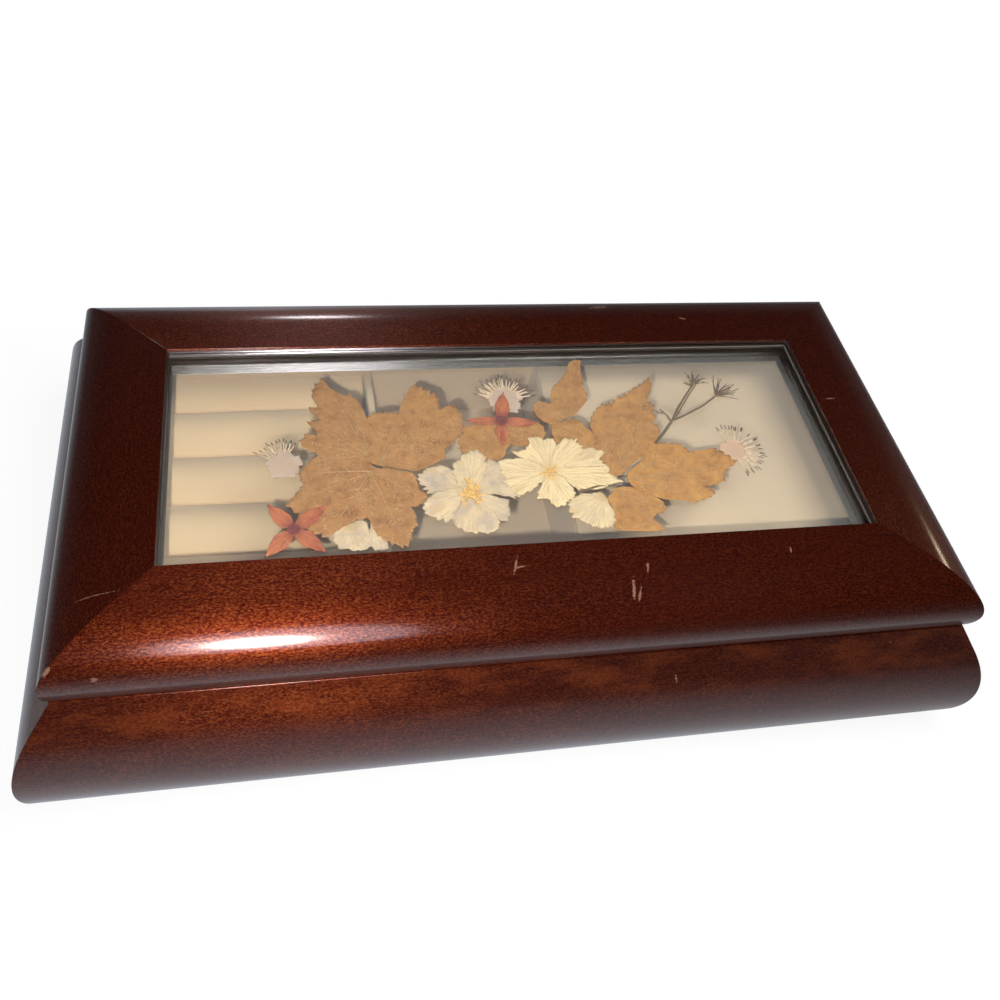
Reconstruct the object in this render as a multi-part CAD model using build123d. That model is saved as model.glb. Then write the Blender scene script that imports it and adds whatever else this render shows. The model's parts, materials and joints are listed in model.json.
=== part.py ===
from build123d import *
import os
from math import asin, cos, degrees, pi, radians, sin, tan

os.makedirs("parts", exist_ok=True)

# Millimetres. X runs along the box, the front faces -Y and Z is up.
# The origin is on the table, under the middle of the box.

# Lid frame
lid_length = 240.0
lid_width = 121.5
lid_rail_width = 25.4
lid_bead_height = 6.0
lid_under_inset = 1.4
lid_nose_radius = 9.0
lid_nose_turn = 50.0
lid_shoulder_radius = 17.0
lid_top_rise = 3.0
window_edge_radius = 0.8
glass_line_height = 14.5
rabbet_width = 6.0
lid_gap = 0.3

# Base frame
base_height = 42.0
base_top_inset = 1.1
flare_angle = 38.5
flare_run = 8.0
bulge_radius = 31.0
heel_radius = 10.0
base_wall = 13.0
floor_ledge = 4.0
recess_share = 2 / 7
floor_thickness = 3.0
floor_clearance = 0.3
felt_thickness = 1.0
felt_radius = 4.0
felt_inset = 4.6
rail_outreach = 15.0
rail_cut_height = 100.0
cut_overrun = 1.0

# Lining, dividers and ring pad
lining_thickness = 1.2
lining_drop = 0.8
pad_bay_length = 68.9
movement_bay_length = 87.8
divider_thickness = 2.4
left_divider_drop = 6.5
cover_drop = 2.5
cover_thickness = 2.2
cover_clearance = 0.2
cleat_width = 4.0
cleat_height = 5.0
pad_drop = 8.0
pad_clearance = 0.3
roll_pitch = 17.3
roll_first_seam = 36.8
roll_crown = 4.6
roll_slot_width = 0.6
roll_slot_depth = 5.0
roll_end_radius = 3.0

# Glass, spacer and the pressed pieces between the panes
pane_thickness = 2.0
pane_clearance = 0.3
spacer_thickness = 1.0
spacer_width = 5.0
glass_stop_height = 4.4
petal_thickness = 0.12
layer_pitch = 0.145
leaf_heart_share = 4.2
leaf_tooth_share = 0.95
leaf_teeth = 6
petal_steps = 10
petal_tip_width = 0.15
stalk_width = 0.7
seed_head_length = 8.0
seed_head_width = 3.2
fringe_rays = 17
fringe_ray_turn = 12

# Pressed leaves and flowers. Places and sizes are in hundredths of the window's half length,
# headings and turns in degrees from +X, and the last number is the layer that the piece lies in.
# A lobe is its turn, length and width.
broad_lobe_shares = (
    (0, 26.4, 15.9),
    (55, 18, 12.7),
    (-55, 18, 12.7),
    (115, 11.6, 9.5),
    (-115, 11.6, 9.5),
)
narrow_lobe_shares = (
    (0, 26.4, 12.7),
    (48, 13.7, 8.5),
    (-48, 13.7, 8.5),
)
paired_lobe_shares = (
    (-27, 12.7, 9.5),
    (27, 12.7, 9.5),
)
small_lobe_shares = (
    (0, 16.4, 11.6),
    (50, 11.6, 8.5),
    (-50, 9.5, 8.5),
)
# Leaves: X, Y, heading, lobes, layer
leaf_shares = (
    (-49.7, 3.2, 108, broad_lobe_shares, 0),
    (-29.6, 3.2, 82, broad_lobe_shares, 1),
    (-42.8, -10, -72, broad_lobe_shares, 2),
    (-3.7, 4.8, -100, paired_lobe_shares, 0),
    (14.8, 10, 62, narrow_lobe_shares, 0),
    (32.8, -4.2, 62, broad_lobe_shares, 0),
    (39.1, -11.6, 4, broad_lobe_shares, 1),
    (29.1, -17.4, -72, small_lobe_shares, 0),
)
# Star flowers: X, Y, heading, petal length, petal width, layer, and the number of petals on its own
coral_shares = (
    (-3.4, 8.9, -3, 12.2, 5.9, 3),
    (-65, -25.4, 45, 10.9, 5.5, 3),
)
cream_shares = (
    (-16.1, -15, 8, 14.4, 11, 4),
    (10, -9.5, 18, 15.3, 7.8, 4),
)
coral_petal_count = 4
cream_petal_counts = (7, 9)
# A loose petal: X, Y, heading, length, width, layer
loose_petal_share = (11.2, -19.7, -38, 15.3, 8.9, 5)
# Fringed flowers: X, Y, heading, radius, layer
fringed_shares = (
    (70.8, -4.4, 40, 8.5, 2),
    (1, 21.8, 88, 8.9, 2),
    (-66, -1.1, 95, 8, 3),
)
# The stalk runs out to each head and back to its fork
stalk_shares = (
    (42.8, -2.1),
    (51.4, 7.6),
    (63.5, 22),
    (51.4, 7.6),
    (68.7, 15.4),
    (51.4, 7.6),
    (47.6, 11.2),
)
seed_head_shares = (
    (63, 21.4, 38),
    (68.1, 15.2, 28),
    (68.3, 15.6, 62),
)
seed_stem_layer = 2
petal_fullness = 0.8
leaf_fullness = 0.85
star_eye_share = 0.3
fringe_heart_share = 0.6
fringe_middle_share = 0.75
fringe_length_share = 0.5
fringe_width_share = 0.08

# Hinges
hinge_share = 0.6
hinge_length = 26.0
hinge_axis_outset = 0.85
knuckle_radius = 1.6
knuckle_pocket = 0.5
knuckle_length = 8.0
knuckle_gap = 0.2
leaf_thickness = 0.8
leaf_depth = 9.2
pin_radius = 0.7
running_clearance = 0.05
hinge_screw_spread = 16.0
hinge_screw_inset = 5.7

# Screws: radii, lengths and distances from the edges
wood_screw_head = 1.8
wood_screw_shank = 0.9
wood_screw_length = 7.0
floor_screw_inset = 11.0
movement_screw_inset = 3.0
movement_screw_radius = 1.0
movement_screw_length = 4.4
movement_screw_head = 2.0
movement_screw_head_height = 1.0
comb_screw_radius = 0.8
comb_screw_length = 4.0
comb_screw_head = 1.6
comb_screw_head_height = 0.9
comb_screw_inset = 3.0

# Musical movement, placed from the winding arbor
arbor_wall_gap = 61.8
arbor_y = -6.0
arbor_radius = 1.5
bedplate_thickness = 1.8
bedplate_left = 13.0
bedplate_right = 42.5
bedplate_front = 17.5
bedplate_back = 17.5
housing_radius = 9.6
housing_wall = 0.8
housing_share = 2 / 15
spring_ribbon = 0.35
spring_turns = 6
spring_width = 4.0
spring_steps = 12
spring_end_gap = 0.25
arbor_head_radius = 2.5
arbor_head_height = 1.0
arbor_head_gap = 0.2
crown_radius = 8.4
crown_teeth = 24
crown_tooth_height = 0.9
crown_tooth_length = 2.0
wheel_thickness = 1.2
wheel_lift = 0.3
pinion_teeth = 12
pinion_width = 2.0
tooth_depth = 0.45
tooth_root_gap = 0.1
tooth_share = 0.36
worm_tooth_share = 0.3
tooth_foot_share = 0.62
tooth_crest_share = 0.36
crown_foot_share = 0.2
crown_crest_share = 0.12
mesh_clearance = 0.05
bracket_thickness = 1.2
bracket_gap = 0.8
bracket_half_width = 5.0
bracket_foot = 6.5
bracket_head_room = 2.2
drum_radius = 6.0
drum_length = 17.0
drum_tracks = 18
pins_per_track = 4
drum_pin_radius = 0.2
drum_pin_height = 0.5
drum_pin_root = 0.3
drum_track_turn = 67
drum_pin_stagger = 9
drum_stagger_steps = 5
cylinder_shaft_radius = 0.8
shaft_end = 0.4
gear_module = 0.5
cylinder_gear_teeth = 24
governor_pinion_teeth = 8
worm_wheel_teeth = 16
gear_width = 1.5
governor_shaft_radius = 0.7
governor_plate = 1.0
governor_pitch = 5.2
governor_post_width = 4.3
governor_post_front = 2.6
governor_roof_gap = 0.4
governor_end_play = 0.2
governor_rear_margin = 2.2
worm_wheel_width = 1.4
worm_core_radius = 1.0
worm_pivot_radius = 0.6
worm_thread_height = 0.7
worm_thread_root = 0.2
worm_thread_foot = 0.24
worm_thread_crest = 0.15
worm_length = 5.5
worm_clearance = 0.1
fly_radius = 4.0
fly_height = 3.4
fly_blade = 0.3
fly_disc = 0.6
fly_lift = 0.8
fly_blade_inset = 0.2
comb_thickness = 1.0
comb_base_depth = 4.5
comb_edge_margin = 0.5
comb_tooth_root = 0.5
comb_tip_clearance = 0.25
comb_slot = 0.2
key_hub_radius = 2.8
key_hub_height = 4.6
key_hub_gap = 0.4
key_socket_floor = 1.2
key_wing_length = 20.0
key_wing_height = 6.1
key_wing_thickness = 1.6
key_wing_hole = 1.6
key_wing_hole_share = 0.25
key_table_gap = 2.4
key_hole_radius = 4.0

# Stop work that the closed lid presses
plunger_wall_gap = 3.2
plunger_radius = 1.2
plunger_reach = 3.1
plunger_collar_radius = 2.2
plunger_collar_height = 0.8
plunger_collar_gap = 0.2
plunger_lid_gap = 0.1
stop_travel = 3.0
stop_spring_room = 2.3
stop_sheet = 1.0
lever_plunger_gap = 10.6
lever_pivot_drop = 1.5
lever_thickness = 1.6
lever_arm = 1.4
lever_hub_radius = 1.9
lever_side_gap = 0.3
lever_tail_gap = 0.1
lever_pin_radius = 0.8
lever_pin_head = 0.6
lever_nose_gap = 0.35
stop_margin = 0.8
stop_edge_margin = 2.6
stop_foot_depth = 6.0
stop_wall_gap = 0.3
stop_spring_wire = 0.2
stop_spring_gap = 0.25
stop_spring_seat = 0.05
stop_spring_turns = 3

# Places that follow from the sizes above
half_length = lid_length / 2
half_width = lid_width / 2
lid_bottom = base_height + lid_gap
glass_top = lid_bottom + glass_line_height
inner_half_length = half_length - base_wall
inner_half_width = half_width - base_wall
floor_underside = base_height * recess_share
floor_top = floor_underside + floor_thickness
rabbet_inset = base_wall - floor_ledge
lined_half_length = inner_half_length - lining_thickness
lined_half_width = inner_half_width - lining_thickness
left_divider_x = -lined_half_length + pad_bay_length
right_divider_x = lined_half_length - movement_bay_length
lining_top = base_height - lining_drop
left_divider_top = base_height - left_divider_drop
pad_crown_height = base_height - pad_drop
cover_top = base_height - cover_drop
cover_underside = cover_top - cover_thickness
floor_lining_top = floor_top + lining_thickness
hinge_offset = half_length * hinge_share
hinge_y = half_width + hinge_axis_outset
hinge_z = base_height + lid_gap / 2
spacer_top = glass_top - pane_thickness
backing_top = spacer_top - spacer_thickness
stop_top = backing_top - pane_thickness
window_half_length = half_length - lid_rail_width
window_half_width = half_width - lid_rail_width
pressed_unit = window_half_length / 100
bedplate_top = floor_top + bedplate_thickness
arbor_x = lined_half_length - arbor_wall_gap
plunger_x = lined_half_length - plunger_wall_gap
lever_pivot_x = plunger_x - lever_plunger_gap
housing_height = base_height * housing_share
housing_top = bedplate_top + housing_height
wheel_bottom = housing_top + wheel_lift
wheel_top = wheel_bottom + wheel_thickness
pinion_pitch_radius = crown_radius * pinion_teeth / crown_teeth
pinion_middle_x = arbor_x + crown_radius
cylinder_z = wheel_top + crown_tooth_height - tooth_depth + pinion_pitch_radius + mesh_clearance
left_bracket_x = pinion_middle_x + pinion_width / 2 + bracket_gap
drum_x = left_bracket_x + bracket_thickness + bracket_gap
right_bracket_x = drum_x + drum_length + bracket_gap
cylinder_gear_x = right_bracket_x + bracket_thickness + bracket_gap
governor_y = arbor_y + gear_module * (cylinder_gear_teeth + governor_pinion_teeth) / 2 + mesh_clearance
governor_x = cylinder_gear_x + gear_width + bracket_gap + governor_plate
worm_x = governor_x + governor_pitch / 2
worm_y = governor_y + gear_module * worm_wheel_teeth / 2
worm_y += worm_core_radius + worm_thread_height / 2 + worm_clearance
worm_wheel_radius = gear_module * worm_wheel_teeth / 2
governor_roof = cylinder_z + worm_wheel_radius + tooth_depth + governor_roof_gap
fly_bottom = bedplate_top + governor_plate + fly_lift
comb_front = arbor_y - bedplate_front + comb_edge_margin
collar_top = cover_underside - stop_travel - plunger_collar_gap
collar_low = collar_top - plunger_collar_height
stop_shelf_height = collar_low - stop_spring_room
plunger_foot = stop_shelf_height - stop_sheet - plunger_reach
lever_pivot_height = plunger_foot - lever_pivot_drop


def save(name, shape):
    shape.label = name
    export_step(shape, "parts/" + name + ".step")
    print(name)


def block(x_low, x_high, y_low, y_high, z_low, z_high):
    size = (x_high - x_low, y_high - y_low, z_high - z_low)
    middle = ((x_low + x_high) / 2, (y_low + y_high) / 2, (z_low + z_high) / 2)
    return Pos(*middle) * Box(*size)


def rod(x, y, z_low, z_high, radius):
    return Pos(x, y, (z_low + z_high) / 2) * Cylinder(radius, z_high - z_low)


def rod_along_x(x_low, x_high, y, z, radius):
    return Pos((x_low + x_high) / 2, y, z) * Rot(0, 90, 0) * Cylinder(radius, x_high - x_low)


def rod_along_y(x, y_low, y_high, z, radius):
    return Pos(x, (y_low + y_high) / 2, z) * Rot(90, 0, 0) * Cylinder(radius, y_high - y_low)


def countersunk_screw(x, y, z, up):
    """A screw whose flat head face lies at z, with the shank pointing up or down."""
    head_depth = wood_screw_head - wood_screw_shank
    head = Pos(0, 0, head_depth / 2) * Cone(wood_screw_head, wood_screw_shank, head_depth)
    shank = rod(0, 0, 0, wood_screw_length, wood_screw_shank)
    turn = Rot(0, 0, 0) if up else Rot(180, 0, 0)
    return Pos(x, y, z) * turn * (head + shank)


def group(solids):
    return Compound(children=[piece.solid() for piece in solids])


# Mouldings
def mitred_rail(profile, half_run, half_across, outreach, inreach):
    """The profile, drawn as outward distance and height, becomes the front rail with 45 degree ends."""
    section = Plane(origin=(0, -half_across, 0), x_dir=(0, -1, 0), z_dir=(-1, 0, 0)) * profile
    bar = extrude(section, amount=half_run + outreach, both=True)
    outer = (half_run + outreach, -half_across - outreach)
    inner = (half_run - inreach, -half_across + inreach)
    ends = make_face(Polyline((-outer[0], outer[1]), outer, inner, (-inner[0], inner[1]), close=True))
    return bar & extrude(ends, amount=rail_cut_height)


def four_rails(profile, outreach, inreach):
    long_rail = mitred_rail(profile, half_length, half_width, outreach, inreach)
    short_rail = mitred_rail(profile, half_width, half_length, outreach, inreach)
    return {
        "front": long_rail,
        "back": Rot(0, 0, 180) * long_rail,
        "left": Rot(0, 0, -90) * short_rail,
        "right": Rot(0, 0, 90) * short_rail,
    }


def base_profile():
    """A straight flare, a wide bulge and a tight heel, with a ledge inside for the floor panel."""
    wood_height = base_height - felt_thickness
    flare = radians(flare_angle)
    heel_sine = wood_height - flare_run * cos(flare) - bulge_radius * sin(flare) - heel_radius
    heel_turn = degrees(asin(heel_sine / (bulge_radius - heel_radius)))
    top = Vector(-base_top_inset, base_height)
    down_out = Vector(sin(flare), -cos(flare))
    flare_line = Line(top, top + down_out * flare_run)
    bulge = JernArc(flare_line @ 1, down_out, bulge_radius, -(flare_angle + heel_turn))
    heel = JernArc(bulge @ 1, bulge % 1, heel_radius, heel_turn - 90)
    inside = Polyline(
        heel @ 1,
        (-rabbet_inset, felt_thickness),
        (-rabbet_inset, floor_top),
        (-base_wall, floor_top),
        (-base_wall, base_height),
        top,
    )
    return make_face(flare_line + bulge + heel + inside)


def lid_profile():
    """A bead that rolls under, a round nose, a wide shoulder and a nearly flat top to the window."""
    bead = (0, lid_bottom + lid_bead_height)
    under = (-lid_under_inset, lid_bottom)
    roll_under = TangentArc([bead, under], tangent=(0, -1))
    nose = JernArc(bead, (0, 1), lid_nose_radius, lid_nose_turn)
    shoulder = JernArc(nose @ 1, nose % 1, lid_shoulder_radius, 90 - lid_nose_turn - lid_top_rise)
    slope = tan(radians(lid_top_rise))
    edge_x = -lid_rail_width + window_edge_radius
    edge = ((shoulder @ 1).X - edge_x) * slope + (shoulder @ 1).Y
    flat = Line(shoulder @ 1, (edge_x, edge))
    ease = TangentArc([(edge_x, edge), (-lid_rail_width, edge - window_edge_radius)], tangent=flat % 1)
    inside = Polyline(
        ease @ 1,
        (-lid_rail_width, glass_top),
        (-lid_rail_width + rabbet_width, glass_top),
        (-lid_rail_width + rabbet_width, lid_bottom),
        under,
    )
    return make_face(nose + shoulder + flat + ease + inside + roll_under)


# Hinges
def leaf_plate(x, z_low):
    plate_back = hinge_y - knuckle_radius - knuckle_gap
    half = hinge_length / 2
    return block(x - half, x + half, plate_back - leaf_depth, plate_back, z_low, z_low + leaf_thickness)


def knuckle(x_low, x_high, z_low):
    barrel = rod_along_x(x_low, x_high, hinge_y, hinge_z, knuckle_radius)
    plate_back = hinge_y - knuckle_radius - knuckle_gap
    tab = block(x_low, x_high, plate_back, hinge_y, z_low, z_low + leaf_thickness)
    return barrel + tab


def hinge_screws(x, z, up):
    y = half_width - hinge_screw_inset
    half = hinge_screw_spread / 2
    return [countersunk_screw(x - half, y, z, up), countersunk_screw(x + half, y, z, up)]


def pin_bore(x):
    return rod_along_x(x - hinge_length, x + hinge_length, hinge_y, hinge_z, pin_radius + running_clearance)


def base_leaf(x):
    z_low = base_height - leaf_thickness
    half = hinge_length / 2
    left = knuckle(x - half, x - half + knuckle_length, z_low)
    right = knuckle(x + half - knuckle_length, x + half, z_low)
    return leaf_plate(x, z_low) + left + right - pin_bore(x)


def lid_leaf(x):
    inner = hinge_length / 2 - knuckle_length - knuckle_gap
    return leaf_plate(x, lid_bottom) + knuckle(x - inner, x + inner, lid_bottom) - pin_bore(x)


def hinge_pocket(x):
    reach = hinge_length / 2 + knuckle_pocket
    return rod_along_x(x - reach, x + reach, hinge_y, hinge_z, knuckle_radius + knuckle_pocket)


def make_hinges():
    base_screws = []
    lid_screws = []
    pins = []
    cuts = {"base": [], "lid": []}
    for side, x in (("left", -hinge_offset), ("right", hinge_offset)):
        down = hinge_screws(x, base_height, up=False)
        up = hinge_screws(x, lid_bottom, up=True)
        save("hinge_base_leaf_" + side, base_leaf(x) - down)
        save("hinge_lid_leaf_" + side, lid_leaf(x) - up)
        cuts["base"] += [hinge_pocket(x), leaf_plate(x, base_height - leaf_thickness)] + down
        cuts["lid"] += [hinge_pocket(x), leaf_plate(x, lid_bottom)] + up
        base_screws += down
        lid_screws += up
        pins.append(rod_along_x(x - hinge_length / 2, x + hinge_length / 2, hinge_y, hinge_z, pin_radius))
    save("hinge_base_screws", group(base_screws))
    save("hinge_lid_screws", group(lid_screws))
    save("hinge_pins", group(pins))
    return cuts


# Base
def floor_screw_places():
    y = half_width - floor_screw_inset
    x = half_length - floor_screw_inset
    return [(-x / 2, -y), (x / 2, -y), (-x / 2, y), (x / 2, y), (-x, 0), (x, 0)]


def movement_screw_places():
    front = arbor_y - bedplate_front + movement_screw_inset
    back = arbor_y + bedplate_back - movement_screw_inset
    left = arbor_x - bedplate_left + movement_screw_inset
    right = arbor_x + bedplate_right - movement_screw_inset
    return [(left, front), (left, back), (right, front)]


def movement_screw(x, y):
    head_bottom = floor_underside - movement_screw_head_height
    shank = rod(x, y, floor_underside, floor_underside + movement_screw_length, movement_screw_radius)
    return shank + rod(x, y, head_bottom, floor_underside, movement_screw_head)


def make_base(hinge_cuts):
    floor_screws = [countersunk_screw(x, y, floor_underside, up=True) for x, y in floor_screw_places()]
    movement_screws = [movement_screw(x, y) for x, y in movement_screw_places()]
    rails = four_rails(base_profile(), rail_outreach, base_wall)
    rails["back"] = rails["back"] - hinge_cuts
    for side, rail in rails.items():
        save("base_" + side + "_rail", rail - floor_screws)
    reach_x = half_length - rabbet_inset - floor_clearance
    reach_y = half_width - rabbet_inset - floor_clearance
    panel = block(-reach_x, reach_x, -reach_y, reach_y, floor_underside, floor_top)
    panel -= rod(arbor_x, arbor_y, floor_underside - cut_overrun, floor_top + cut_overrun, key_hole_radius)
    save("base_floor", panel - floor_screws - movement_screws)
    save("floor_screws", group(floor_screws))
    save("movement_screws", group(movement_screws))
    feet_x = half_length - felt_inset
    feet_y = half_width - felt_inset
    feet = [rod(x, y, 0, felt_thickness, felt_radius) for x in (-feet_x, feet_x) for y in (-feet_y, feet_y)]
    save("felt_feet", group(feet))
    return movement_screws


# Lining and ring pad
def make_lining():
    half_divider = divider_thickness / 2
    for side, y_low in (("front", -inner_half_width), ("back", lined_half_width)):
        sheet = block(-inner_half_length, inner_half_length, y_low, y_low + lining_thickness,
                      floor_top, lining_top)
        save("lining_" + side, sheet)
    for side, x_low in (("left", -inner_half_length), ("right", lined_half_length)):
        sheet = block(x_low, x_low + lining_thickness, -lined_half_width, lined_half_width,
                      floor_top, lining_top)
        save("lining_" + side, sheet)
    lining_end = right_divider_x - half_divider
    save("lining_floor", block(-lined_half_length, lining_end, -lined_half_width, lined_half_width,
                               floor_top, floor_lining_top))
    save("divider_left", block(left_divider_x - half_divider, left_divider_x + half_divider,
                               -lined_half_width, lined_half_width, floor_lining_top, left_divider_top))
    save("divider_right", block(right_divider_x - half_divider, right_divider_x + half_divider,
                                -lined_half_width, lined_half_width, floor_top, cover_underside))
    cover_reach = lined_half_width - cover_clearance
    cover = block(right_divider_x - half_divider, lined_half_length - cover_clearance,
                  -cover_reach, cover_reach, cover_underside, cover_top)
    hole = rod(plunger_x, worm_y, cover_underside - cut_overrun, cover_top + cut_overrun,
               plunger_radius + running_clearance)
    save("movement_cover", cover - hole)
    cleats = []
    for y_low in (-lined_half_width, lined_half_width - cleat_width):
        cleats.append(block(right_divider_x + half_divider, lined_half_length, y_low, y_low + cleat_width,
                            cover_underside - cleat_height, cover_underside))
    save("cover_cleats", group(cleats))


def make_ring_pad():
    """Soft rolls along X from one cross section, cut short at both walls and drawn in at the ends."""
    left = -lined_half_length + pad_clearance
    right = left_divider_x - divider_thickness / 2 - pad_clearance
    reach = lined_half_width - pad_clearance
    shoulder = pad_crown_height - roll_crown
    slot_bottom = shoulder - roll_slot_depth
    side = Plane(origin=(left, 0, 0), x_dir=(0, 1, 0), z_dir=(1, 0, 0))
    pad = block(left, right, -reach, reach, floor_lining_top, slot_bottom)
    roll_count = int((roll_first_seam + reach) / roll_pitch) + 2
    for index in range(roll_count):
        back = roll_first_seam + roll_pitch * (1 - index) - roll_slot_width / 2
        front = back - roll_pitch + roll_slot_width
        crown = ThreePointArc((back, shoulder), ((back + front) / 2, pad_crown_height), (front, shoulder))
        flanks = Polyline((front, shoulder), (front, slot_bottom), (back, slot_bottom), (back, shoulder))
        pad += extrude(side * make_face(crown + flanks), amount=right - left)
    end_plane = Plane(origin=(0, reach, 0), x_dir=(1, 0, 0), z_dir=(0, -1, 0))
    outline = Pos((left + right) / 2, (floor_lining_top + pad_crown_height) / 2) * Rectangle(
        right - left, pad_crown_height - floor_lining_top)
    upper = outline.vertices().sort_by(Axis.Y)[-2:]
    save("ring_pad", pad & extrude(end_plane * fillet(upper, roll_end_radius), amount=2 * reach))


# Lid
def pane(z_low):
    reach_x = window_half_length + rabbet_width - pane_clearance
    reach_y = window_half_width + rabbet_width - pane_clearance
    return block(-reach_x, reach_x, -reach_y, reach_y, z_low, z_low + pane_thickness)


def make_lid(hinge_cuts):
    rails = four_rails(lid_profile(), window_edge_radius, lid_rail_width)
    rails["back"] = rails["back"] - hinge_cuts
    for side, rail in rails.items():
        save("lid_" + side + "_rail", rail)
    save("window_glass", pane(spacer_top))
    save("backing_glass", pane(stop_top))
    sheet = Pos(0, 0, spacer_thickness - pane_thickness) * pane(spacer_top)
    spacer = sheet & block(-half_length, half_length, -half_width, half_width, backing_top, spacer_top)
    hole_x = window_half_length + rabbet_width - spacer_width
    hole_y = window_half_width + rabbet_width - spacer_width
    opening = block(-hole_x, hole_x, -hole_y, hole_y, backing_top - cut_overrun, spacer_top + cut_overrun)
    save("pane_spacer", spacer - opening)
    strip_bottom = stop_top - glass_stop_height
    inner = -lid_rail_width
    outer = inner + rabbet_width - pane_clearance
    corners = [(inner, strip_bottom), (outer, strip_bottom), (outer, stop_top), (inner, stop_top)]
    strip = make_face(Polyline(*corners, close=True))
    for side, stop in four_rails(strip, 0, lid_rail_width).items():
        save("glass_stop_" + side, stop)


# Pressed leaves and flowers
def petal_outline(length, width, fullness, teeth=0, tooth=0.0):
    """A pointed oval along +X: half width follows sin(pi * t ** fullness), with saw teeth on both edges."""
    steps = 2 * teeth if teeth else petal_steps
    upper = []
    for step in range(1, steps):
        t = step / steps
        swell = width / 2 * sin(pi * t ** fullness)
        notch = tooth * (step % 2) if teeth else 0
        upper.append((length * t, max(swell - notch, petal_tip_width)))
    lower = [(x, -y) for x, y in reversed(upper)]
    return make_face(Polyline((0, 0), *upper, (length, 0), *lower, close=True))


def layered(face, x, y, heading, layer):
    """The face becomes a thin sheet at its place in the window, on its layer above the lower pane."""
    z = backing_top + layer * layer_pitch + (layer_pitch - petal_thickness)
    place = Pos(x * pressed_unit, y * pressed_unit, z) * Rot(0, 0, heading)
    return place * extrude(face, amount=petal_thickness)


def lobed_leaf(x, y, heading, lobes, layer):
    """Toothed lobes that share one foot."""
    leaf = Circle(leaf_heart_share * pressed_unit)
    for turn, length, width in lobes:
        lobe = petal_outline(length * pressed_unit, width * pressed_unit,
                             leaf_fullness, leaf_teeth, leaf_tooth_share * pressed_unit)
        leaf += Rot(0, 0, turn) * lobe
    return layered(leaf, x, y, heading, layer)


def star_flower(petals, x, y, heading, length, width, layer):
    """Whole petals in a ring round a small eye."""
    flower = Circle(width * pressed_unit * star_eye_share)
    for index in range(petals):
        petal = petal_outline(length * pressed_unit, width * pressed_unit, petal_fullness)
        flower += Rot(0, 0, index * 360 / petals) * petal
    return layered(flower, x, y, heading, layer)


def fringed_flower(x, y, heading, radius, layer):
    """A round pale head with a half ring of fine fringe."""
    reach = radius * pressed_unit
    flower = Circle(reach * fringe_heart_share)
    stroke = Rectangle(reach * fringe_length_share, reach * fringe_width_share)
    ray = Pos(reach * fringe_middle_share, 0) * stroke
    for index in range(fringe_rays):
        turn = (index - (fringe_rays - 1) / 2) * fringe_ray_turn
        flower += Rot(0, 0, turn) * ray
    return layered(flower, x, y, heading, layer)


def seed_stem():
    """Straight stretches of thin stalk, joined end to end, with small seed heads."""
    points = [Vector(x, y) * pressed_unit for x, y in stalk_shares]
    stem = Pos(points[0].X, points[0].Y) * Circle(stalk_width / 2)
    for start, end in zip(points, points[1:]):
        middle = (start + end) * 0.5
        turn = Vector(1, 0).get_signed_angle(end - start, Vector(0, 0, 1))
        stretch = Rectangle((end - start).length + stalk_width, stalk_width)
        stem += Pos(middle.X, middle.Y) * Rot(0, 0, turn) * stretch
    head = petal_outline(seed_head_length, seed_head_width, petal_fullness)
    for x, y, heading in seed_head_shares:
        stem += Pos(x * pressed_unit, y * pressed_unit) * Rot(0, 0, heading) * head
    return layered(stem, 0, 0, 0, seed_stem_layer)


def make_pressed_pieces():
    save("pressed_leaves", group([lobed_leaf(*place) for place in leaf_shares]))
    coral_flowers = [star_flower(coral_petal_count, *place) for place in coral_shares]
    save("pressed_coral_flowers", group(coral_flowers))
    x, y, heading, length, width, layer = loose_petal_share
    petal = petal_outline(length * pressed_unit, width * pressed_unit, 1.0)
    counted = zip(cream_petal_counts, cream_shares)
    flowers = [star_flower(count, *place) for count, place in counted]
    save("pressed_cream_flowers", group(flowers + [layered(petal, x, y, heading, layer)]))
    save("pressed_fringed_flowers", group([fringed_flower(*place) for place in fringed_shares]))
    save("pressed_seed_stem", seed_stem())


# Musical movement
def toothed_disc(teeth, pitch_radius, width, share=tooth_share):
    """A wheel about +X from x = 0, with straight-sided teeth; the first tooth points along +Y."""
    root = pitch_radius - tooth_depth - tooth_root_gap
    tip = pitch_radius + tooth_depth
    pitch_angle = 2 * pi / teeth
    points = []
    for index in range(teeth):
        middle = index * pitch_angle
        wide = pitch_angle * share * tooth_foot_share
        slim = pitch_angle * share * tooth_crest_share
        for radius, turn in ((root, -wide), (tip, -slim), (tip, slim), (root, wide)):
            points.append((radius * cos(middle + turn), radius * sin(middle + turn)))
    return extrude(Plane.YZ * make_face(Polyline(*points, close=True)), amount=width)


def make_winding():
    hub_top = floor_underside - key_hub_gap
    hub_bottom = hub_top - key_hub_height
    socket_bottom = hub_bottom + key_socket_floor
    head_bottom = wheel_top + arbor_head_gap
    head_top = head_bottom + arbor_head_height
    spindle = rod(arbor_x, arbor_y, socket_bottom, head_top, arbor_radius)
    save("winding_arbor", spindle + rod(arbor_x, arbor_y, head_bottom, head_top, arbor_head_radius))
    hub = rod(arbor_x, arbor_y, hub_bottom, hub_top, key_hub_radius)
    side = Plane(origin=(arbor_x, arbor_y, 0), x_dir=(1, 0, 0), z_dir=(0, -1, 0))
    wing = SlotOverall(key_wing_length, key_wing_height)
    hole_reach = key_wing_length * key_wing_hole_share
    holes = [Pos(x, 0) * Circle(key_wing_hole) for x in (-hole_reach, hole_reach)]
    plate = side * (Pos(0, key_table_gap + key_wing_height / 2) * (wing - holes))
    bow = extrude(plate, amount=key_wing_thickness / 2, both=True)
    bore = rod(arbor_x, arbor_y, socket_bottom, hub_top + cut_overrun, arbor_radius)
    save("winding_key", bow + hub - bore)


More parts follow.
